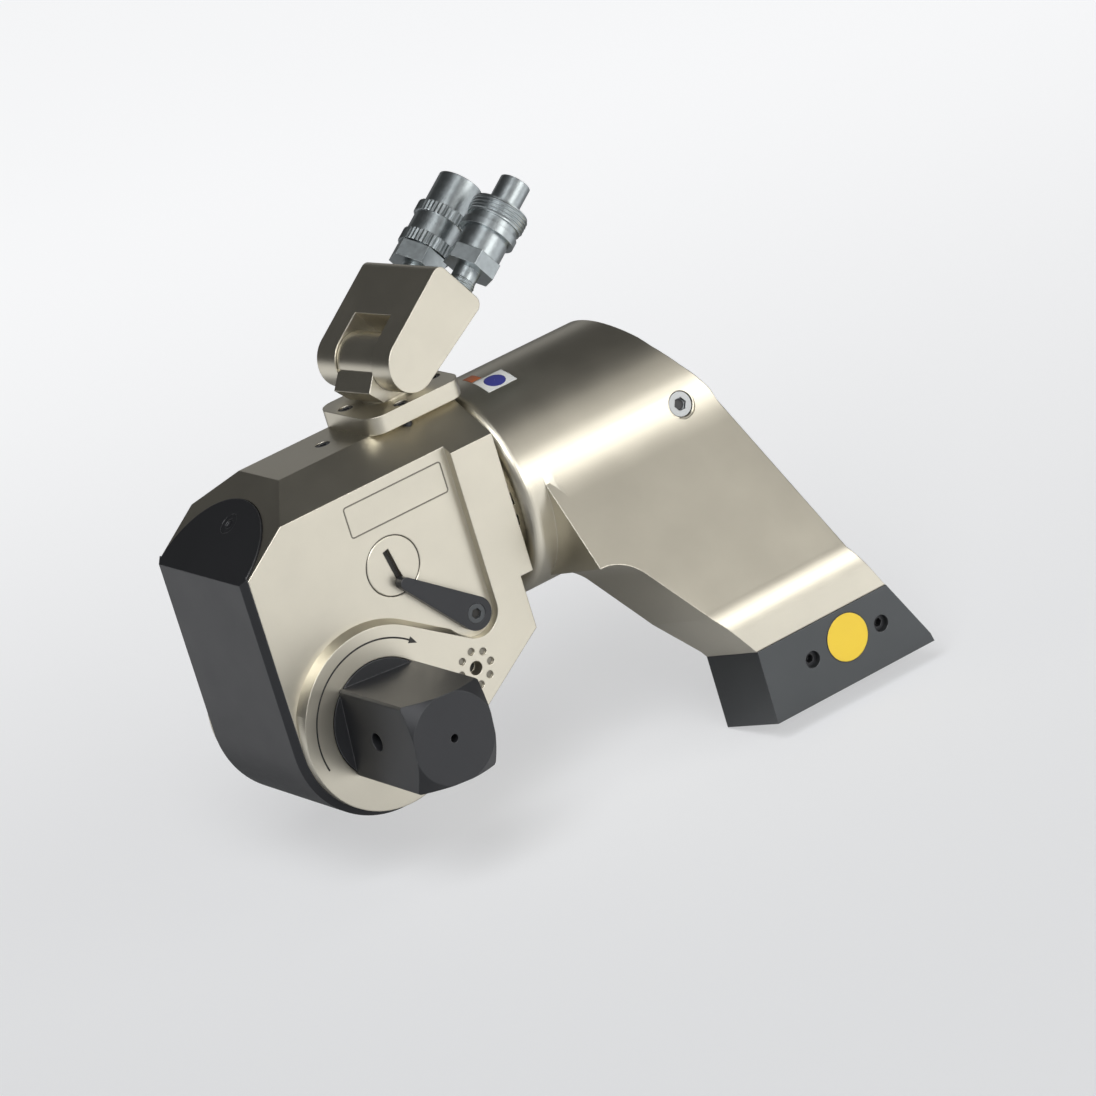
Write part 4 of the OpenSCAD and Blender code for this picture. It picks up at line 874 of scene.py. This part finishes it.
# Soft lights: name, direction from the middle of the wrench, distance, size, power and colour
MIDDLE = Vector((0.095, -0.03, 0.05))
LIGHTS = (("low_right_box", (0.45, -0.86, 0.23), 1.5, (1.3, 0.55), 7.5, (1.0, 0.99, 0.97)),
          ("high_right_box", (0.45, -0.60, 0.66), 1.6, (1.0, 0.6), 1.15, (1.0, 0.98, 0.95)),
          ("back_box", (0.45, 0.83, 0.30), 2.2, (1.8, 0.6), 1.25, (1.0, 1.0, 1.0)),
          ("front_box", (-0.15, -0.95, 0.28), 2.0, (0.8, 0.8), 9.0, (1.0, 1.0, 1.0)),
          ("overhead_box", (-0.45, -0.50, 0.74), 1.6, (0.9, 0.9), 15.0, (0.98, 0.99, 1.0)))


def softbox(name, direction, distance, size, power, colour):
    """A rectangular soft light, placed by its direction from the middle of the wrench."""
    toward = Vector(direction).normalized()
    data = bpy.data.lights.new(name, "AREA")
    data.shape = "RECTANGLE"
    data.size, data.size_y = size
    data.energy = power
    data.color = colour
    lamp = bpy.data.objects.new(name, data)
    lamp.location = MIDDLE + toward * distance
    lamp.rotation_mode = "QUATERNION"
    lamp.rotation_quaternion = toward.to_track_quat("Z", "Y")
    bpy.context.scene.collection.objects.link(lamp)
    return lamp


def pale_floor():
    """A large plain floor just under the object: a flat grid, pale, that keeps the object's shadow."""
    reach = np.linspace(-9, 9, 13)
    x, y = np.meshgrid(reach, reach, indexing="ij")
    points = np.stack([x, y, np.full_like(x, FLOOR_Z)], -1)
    floor = mesh_piece("studio_floor", points, grid_faces(13, 13, False, False))
    material = bpy.data.materials.new("pale_floor")
    material.use_nodes = True
    tree = material.node_tree
    n, link = tree.nodes.new, tree.links.new
    tree.nodes.remove(tree.nodes["Principled BSDF"])
    end = tree.nodes["Material Output"]
    matt, glow, both = n("ShaderNodeBsdfDiffuse"), n("ShaderNodeEmission"), n("ShaderNodeAddShader")
    matt.inputs["Color"].default_value = (0.42, 0.425, 0.435, 1)
    glow.inputs["Color"].default_value = (0.985, 0.99, 1.0, 1)
    path, place = n("ShaderNodeLightPath"), n("ShaderNodeTexCoord")

    def ramp(direction, start, end, low, high):
        along, change = n("ShaderNodeVectorMath"), n("ShaderNodeMapRange")
        along.operation = "DOT_PRODUCT"
        along.inputs[1].default_value = direction
        link(place.outputs["Object"], along.inputs[0])
        change.interpolation_type = "SMOOTHSTEP"
        for name, value in (("From Min", start), ("From Max", end), ("To Min", low), ("To Max", high)):
            change.inputs[name].default_value = value
        link(along.outputs["Value"], change.inputs["Value"])
        return change.outputs["Result"]

    def join(operation, first, second):
        node = n("ShaderNodeMath")
        node.operation = operation
        link(first, node.inputs[0])
        link(second, node.inputs[1])
        return node.outputs[0]

    # The camera sees a floor that pales with distance; glossy metal sees it bright to the front and the left
    seen = join("MULTIPLY", path.outputs["Is Camera Ray"], ramp((0.477, 0.879, 0), -0.9, 1.2, 0.27, 0.83))
    front = join("MULTIPLY", ramp((0, -1, 0), 0.02, 0.16, 0.10, 1.0), ramp((0, -1, 0), 0.24, 0.50, 1.0, 0.68))
    front = join("MULTIPLY", front, ramp((1, 0, 0), 0.20, 0.30, 0.85, 1.0))
    front = join("MULTIPLY", front, ramp((1, 0, 0), -0.06, 0.08, 0.2, 1.0))
    left = join("MULTIPLY", ramp((-1, 0, 0), 0.03, 0.16, 0.0, 0.75), ramp((0, 1, 0), -0.10, 0.0, 0.0, 1.0))
    shone = join("MULTIPLY", path.outputs["Is Glossy Ray"], join("MAXIMUM", front, left))
    link(join("ADD", seen, shone), glow.inputs["Strength"])
    link(matt.outputs[0], both.inputs[0])
    link(glow.outputs[0], both.inputs[1])
    link(both.outputs[0], end.inputs["Surface"])
    floor.data.materials.append(material)
    return floor


class WRENCH_OT_set_stage(bpy.types.Operator):
    """Sets the pale floor, the soft lights and the camera."""

    bl_idname = "wrench.set_stage"
    bl_label = "Set stage"

    def execute(self, context):
        scene = context.scene
        scene.view_settings.view_transform = "Standard"
        pale_floor()
        world = bpy.data.worlds.new("studio")
        world.use_nodes = True
        world.node_tree.nodes["Background"].inputs["Color"].default_value = (0.065, 0.065, 0.065, 1)
        world.node_tree.nodes["Background"].inputs["Strength"].default_value = 1.0
        scene.world = world
        for light in LIGHTS:
            softbox(*light)
        data = bpy.data.cameras.new("photo_camera")
        data.sensor_width = SENSOR
        data.lens = FOCAL_PIXELS / PICTURE_PIXELS * SENSOR
        data.clip_start, data.clip_end = 0.05, 60.0
        camera = bpy.data.objects.new("photo_camera", data)
        place = sum((reach * axis for reach, axis in zip(CAMERA_PLACE, CAMERA)), Vector())
        camera.matrix_world = Matrix.Translation(place) @ Matrix(CAMERA).transposed().to_4x4()
        scene.collection.objects.link(camera)
        scene.camera = camera
        return {"FINISHED"}


OPERATORS = (WRENCH_OT_finish_metal, WRENCH_OT_engrave_marks, WRENCH_OT_stick_discs, WRENCH_OT_blend_steps,
             WRENCH_OT_cut_threads, WRENCH_OT_wind_spring, WRENCH_OT_set_stage)


class WRENCH_PT_looks(bpy.types.Panel):
    """Lists the steps that dress the wrench."""

    bl_idname = "WRENCH_PT_looks"
    bl_label = "Torque wrench looks"
    bl_space_type = "VIEW_3D"
    bl_region_type = "UI"
    bl_category = "Wrench"

    def draw(self, context):
        for operator in OPERATORS:
            self.layout.operator(operator.bl_idname)
        for group in (context.scene.wrench_sizes, context.scene.wrench_colours):
            box = self.layout.box()
            for name in group.__annotations__:
                box.prop(group, name)


CLASSES = (WrenchSizes, WrenchColours, *OPERATORS, WRENCH_PT_looks)


def register():
    for cls in CLASSES:
        bpy.utils.register_class(cls)
    bpy.types.Scene.wrench_sizes = bpy.props.PointerProperty(type=WrenchSizes)
    bpy.types.Scene.wrench_colours = bpy.props.PointerProperty(type=WrenchColours)


def unregister():
    del bpy.types.Scene.wrench_colours
    del bpy.types.Scene.wrench_sizes
    for cls in reversed(CLASSES):
        bpy.utils.unregister_class(cls)


def main():
    register()
    bpy.ops.wrench.finish_metal()
    bpy.ops.wrench.engrave_marks()
    bpy.ops.wrench.stick_discs()
    bpy.ops.wrench.blend_steps()
    bpy.ops.wrench.cut_threads()
    bpy.ops.wrench.wind_spring()
    bpy.ops.wrench.set_stage()


if __name__ == "__main__":
    main()
